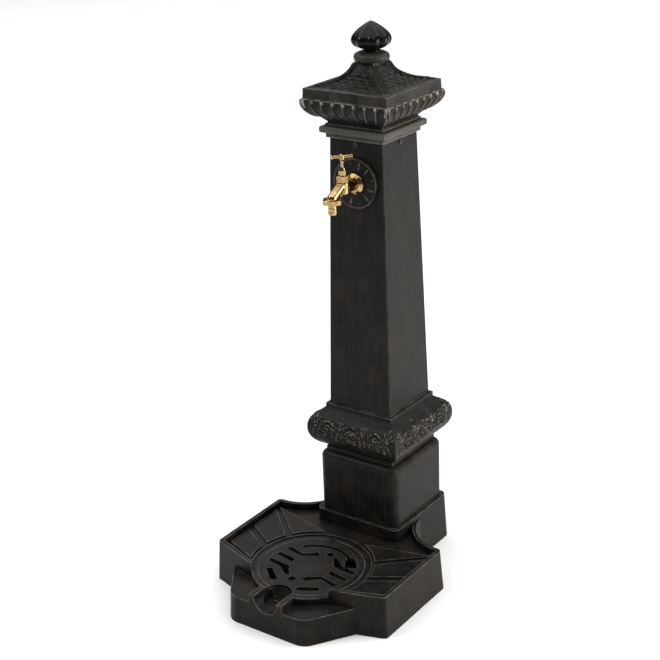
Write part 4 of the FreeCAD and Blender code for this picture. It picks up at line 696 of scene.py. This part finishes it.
bud_enamel = plain_finish("bud_gloss_enamel", (60, 4, 0.6), (0.4, 0.7),
                          ((0.004, 0.0032, 0.0036, 1), (0.012, 0.009, 0.010, 1)), (0.10, 0.18),
                          (220, 3, 0.08, 0.3 * MM), specular=0.15)
bud = bmesh.new()
edge_points = [bud.verts.new(Vector((radius, 0, height)) * MM) for radius, height in BUD_PROFILE]
edge_lines = [bud.edges.new(pair) for pair in zip(edge_points, edge_points[1:])]
bmesh.ops.spin(bud, geom=edge_points + edge_lines, cent=(0, 0, 0), axis=(0, 0, 1), angle=math.tau,
               steps=BUD_LOBES * LOBE_STEPS, use_merge=True)
bmesh.ops.remove_doubles(bud, verts=bud.verts, dist=TIP_WITHIN)
bmesh.ops.recalc_face_normals(bud, faces=bud.faces)
for vertex in bud.verts:
    radius = math.hypot(vertex.co.x, vertex.co.y)
    if radius > STALK_RADIUS or vertex.co.z > STALK_TOP:
        around = math.atan2(vertex.co.y, vertex.co.x) + LOBE_TURN
        hollow = 1 - abs(math.cos(around * BUD_LOBES / 2)) ** LOBE_SHARPNESS
        keep = 1 - LOBE_DEPTH * hollow * min(1, radius / LOBE_FULL_RADIUS)
        vertex.co.x *= keep
        vertex.co.y *= keep
finished("bud_cast", bud, bud_enamel, "gloss_black", "finial", crease=50, weighted=False)

# TIE ROD. The steel rod, nuts and washers inside the column clamp the castings together. They are
# zinc plated, and dull from the damp.
zinc = plain_finish("dull_zinc_plate", (90, 5, 0.6), (0.35, 0.7),
                    ((0.30, 0.31, 0.32, 1), (0.50, 0.50, 0.49, 1)), (0.34, 0.55),
                    (300, 3, 0.15, 0.2 * MM), mark_stretch=(1, 1, 8), metallic=0.9)
dressed(zinc, "tie_rod", "tie_rod_washer", "tie_rod_nut", "roof_washer", "roof_nut")

# ROSETTE. The round iron plate between the shaft and the tap's flange, which clamps it. It is painted
# black, and has a raised rim with dots and strokes cast on its face.
rosette_paint = painted_iron("rosette_black_paint", wear=0.85, grain=EVEN_GRAIN, edge=2 * MM)
mark_paint = painted_iron("rosette_mark_paint", base=(0.10, 0.094, 0.084, 1), bloom=(0.22, 0.20, 0.175, 1),
                          wear=0.8, grain=EVEN_GRAIN, edge=1 * MM)
rosette = welded("rosette")
soften(rosette, 0.5 * MM)
finished("rosette_cast", rosette, rosette_paint, "black_iron", "rosette")
rosette_skin = surface_of("rosette")
TAP_HEIGHT = 732
MARKS = 12
FIRST_MARK = 15
# Places on the marks: a radius with a half thickness for a dot, and a radius with an angle for a bar.
DOT = [(34.2, 0.5), (35.1, 1.5), (36.0, 1.5), (36.9, 0.5)]
STROKE = [26 + step * 2.6 for step in range(6)]
STROKE_RADIUS = 0.75
BAR = [(35.0, -3.2), (34.5, 0), (35.0, 3.2)]
BAR_RADIUS = 0.7


def on_rosette(radius, angle):
    """A place on the rosette's face, given by a radius in millimetres and an angle."""
    across = radius * math.cos(math.radians(angle))
    return on_front(rosette_skin, across, TAP_HEIGHT + radius * math.sin(math.radians(angle)))


marks = []
for index in range(MARKS):
    angle = FIRST_MARK + index * 360 / MARKS
    if index % 3 == 0:
        marks.append([(on_rosette(radius, angle), half * MM) for radius, half in DOT])
    else:
        marks.append([(on_rosette(radius, angle), STROKE_RADIUS * MM) for radius in STROKE])
        marks.append([(on_rosette(radius, angle + aside), BAR_RADIUS * MM) for radius, aside in BAR])
carved("rosette_marks", marks, mark_paint, "black_iron", turns=1)

# TAP. A half-inch bib tap in polished and lacquered brass: flange, body, bonnet, gland nut, spindle,
# bar handle and the hose union below. A back nut inside the shaft holds it. That nut, the jumper in
# the tap and the fittings of the pipe and the waste are plain machined brass.
BRASS_CLOUDS = (130, 5, 0.6, 0.35, 0.70)
BRASS_DARKENING = 0.75
POLISH_MARKS = (420, 3)
POLISH_STRETCH = (1, 1, 5)
POLISH_STRENGTH = 0.10
POLISH_DEPTH = 0.2 * MM
CAST_VOXEL = 0.55 * MM
CAST_EASE = 0.5
CAST_EASE_PASSES = 6
# Each turned piece: its name, its node, how much its edges are rounded in millimetres, and its body.
TURNED_PIECES = [
    ("flange_turned", "wall_flange", 0.8, "fountain"),
    ("bonnet_turned", "tap_bonnet", 0.5, "fountain"),
    ("gland_turned", "gland_nut", 0.4, "fountain"),
    ("union_turned", "union_nut", 0.9, "fountain"),
    ("tail_turned", "hose_tail", 0.25, "fountain"),
    ("handle_turned", "handle_bar", 0.5, "spindle"),
    ("spindle_turned", "spindle", 0.3, "spindle"),
]


def brass_finish(name, light, dark, rough):
    """Brass: darker in random clouds, with fine polishing marks."""
    material, tree, shader = material_nodes(name)
    cloud = layer(tree, own_place(tree), *BRASS_CLOUDS)
    shade = blended(tree, times(tree, cloud, BRASS_DARKENING), light, dark)
    tree.links.new(shade, shader.inputs["Base Color"])
    tree.links.new(spread(tree, cloud, 0, 1, *rough), shader.inputs["Roughness"])
    shader.inputs["Metallic"].default_value = 1
    polish = noise(tree, own_place(tree, POLISH_STRETCH), *POLISH_MARKS)
    grain_bump(tree, shader, polish, POLISH_STRENGTH, POLISH_DEPTH)
    return material


polished = brass_finish("polished_brass", (0.52, 0.365, 0.168, 1), (0.17, 0.085, 0.034, 1), (0.08, 0.20))
yellow = brass_finish("machined_brass", (0.86, 0.66, 0.34, 1), (0.55, 0.36, 0.14, 1), (0.22, 0.36))
tap_piece = finished("tap_cast", welded("tap_body"), polished, "polished_brass", "tap_body", weighted=False)
tap_piece.data.set_sharp_from_angle(angle=math.pi)
melt = tap_piece.modifiers.new("Cast", "REMESH")
melt.mode = "VOXEL"
melt.voxel_size = CAST_VOXEL
melt.use_smooth_shade = True
ease = tap_piece.modifiers.new("Ease", "SMOOTH")
ease.factor = CAST_EASE
ease.iterations = CAST_EASE_PASSES
for name, node, offset, body in TURNED_PIECES:
    mesh = welded(node)
    soften(mesh, offset * MM, 2, 32)
    finished(name, mesh, polished, "polished_brass", node, body=body, crease=45)
dressed(yellow, "jumper_valve", "washer_nut", "back_nut", "supply_elbow", "inlet_coupling",
        "compression_nuts", "olives", "sump_outlet", "sump_nut")

# RUBBER. The seals of the tap and of the waste, and the back washer, in black rubber with a bloom.
# They are moulded rings, pressed between the pieces that they seal.
rubber = plain_finish("black_seal_rubber", (200, 4, 0.6), (0.35, 0.7),
                      ((0.012, 0.012, 0.012, 1), (0.03, 0.03, 0.03, 1)), (0.75, 0.75),
                      (900, 2, 0.2, 0.1 * MM))
dressed(rubber, "sump_seal", "bonnet_seal", "valve_washer", "tail_washer", "gland_packing", "back_washer")

# SUPPLY PIPE. Half-hard copper tube that comes up the column, held by compression nuts at its ends.
# It has gone brown where the air has reached it.
copper = plain_finish("browned_copper", (40, 5, 0.6), (0.35, 0.7),
                      ((0.72, 0.33, 0.20, 1), (0.30, 0.13, 0.08, 1)), (0.28, 0.5),
                      (300, 3, 0.1, 0.2 * MM), mark_stretch=(1, 1, 0.1), cloud_stretch=(1, 1, 0.4),
                      metallic=1)
dressed(copper, "supply_pipe")

# STUDIO. A plain pale floor, soft light from above and from the right, and the camera where the
# photographer stood: in front, well to the right, and looking a little down.
FLOOR_HALF = 15
PAPER_SHADES = ((0.90, 0.90, 0.90, 1), (0.93, 0.93, 0.93, 1))
PAPER_ROUGHNESS = 0.9
PAPER_SPECULAR = 0.1
AIR_LIGHT = 0.10
LENS = 76.99
SENSOR = 36
SHIFT = -0.0038
AZIMUTH = math.radians(35.93)
ELEVATION = math.radians(21.98)
ROLL = math.radians(-2.11)
DISTANCE = 2.5728
AIM_HEIGHT = 0.4434
AIM_LEFT = 0.0832


def softbox(name, place, aim, size, power, tint=(1, 1, 1)):
    """A rectangular lamp at a place, turned to a point."""
    light = bpy.data.lights.new(name, "AREA")
    light.shape = "RECTANGLE"
    light.size, light.size_y = size
    light.energy = power
    light.color = tint
    holder = bpy.data.objects.new(name, light)
    holder.location = place
    holder.rotation_euler = (Vector(aim) - Vector(place)).to_track_quat("-Z", "Y").to_euler()
    bpy.context.scene.collection.objects.link(holder)


floor = bmesh.new()
bmesh.ops.create_grid(floor, x_segments=1, y_segments=1, size=FLOOR_HALF)
floor_data = bpy.data.meshes.new("studio_floor")
floor.to_mesh(floor_data)
floor.free()
floor_paper, floor_tree, floor_shader = material_nodes("pale_paper")
floor_tint = spread(floor_tree, noise(floor_tree, own_place(floor_tree), 3, 2), 0.3, 0.7)
floor_tree.links.new(blended(floor_tree, floor_tint, *PAPER_SHADES), floor_shader.inputs["Base Color"])
floor_shader.inputs["Roughness"].default_value = PAPER_ROUGHNESS
floor_shader.inputs["Specular IOR Level"].default_value = PAPER_SPECULAR
floor_data.materials.append(floor_paper)
floor_piece = bpy.data.objects.new("studio_floor", floor_data)
bpy.context.scene.collection.objects.link(floor_piece)

softbox("top_light", (-1.4, 2.2, 6.5), (-1.4, 2.2, 0), (15, 15), 1300)
softbox("right_light", (2.4, 1.0, 0.9), (0, 0, 0.5), (1.6, 1.6), 62, (1, 0.95, 0.87))
softbox("left_light", (-1.6, -2.0, 2.6), (0, 0, 0.7), (0.5, 0.5), 21)
world = bpy.data.worlds.new("studio_air")
world.use_nodes = True
world.node_tree.nodes["Background"].inputs["Color"].default_value = (1, 1, 1, 1)
world.node_tree.nodes["Background"].inputs["Strength"].default_value = AIR_LIGHT
bpy.context.scene.world = world
bpy.context.scene.view_settings.view_transform = "Standard"

backward = Vector((math.sin(AZIMUTH) * math.cos(ELEVATION), -math.cos(AZIMUTH) * math.cos(ELEVATION),
                   math.sin(ELEVATION)))
level = Vector((math.cos(AZIMUTH), math.sin(AZIMUTH), 0))
upward = backward.cross(level)
target = Vector((0, 0, AIM_HEIGHT)) - level * AIM_LEFT
rightward = math.cos(ROLL) * level + math.sin(ROLL) * upward
overhead = math.cos(ROLL) * upward - math.sin(ROLL) * level
view = bpy.data.cameras.new("photo_camera")
view.lens = LENS
view.sensor_width = SENSOR
view.shift_x = SHIFT
camera = bpy.data.objects.new("photo_camera", view)
turned = Matrix((rightward, overhead, backward)).transposed().to_4x4()
camera.matrix_world = Matrix.Translation(target + backward * DISTANCE) @ turned
bpy.context.scene.collection.objects.link(camera)
bpy.context.scene.camera = camera
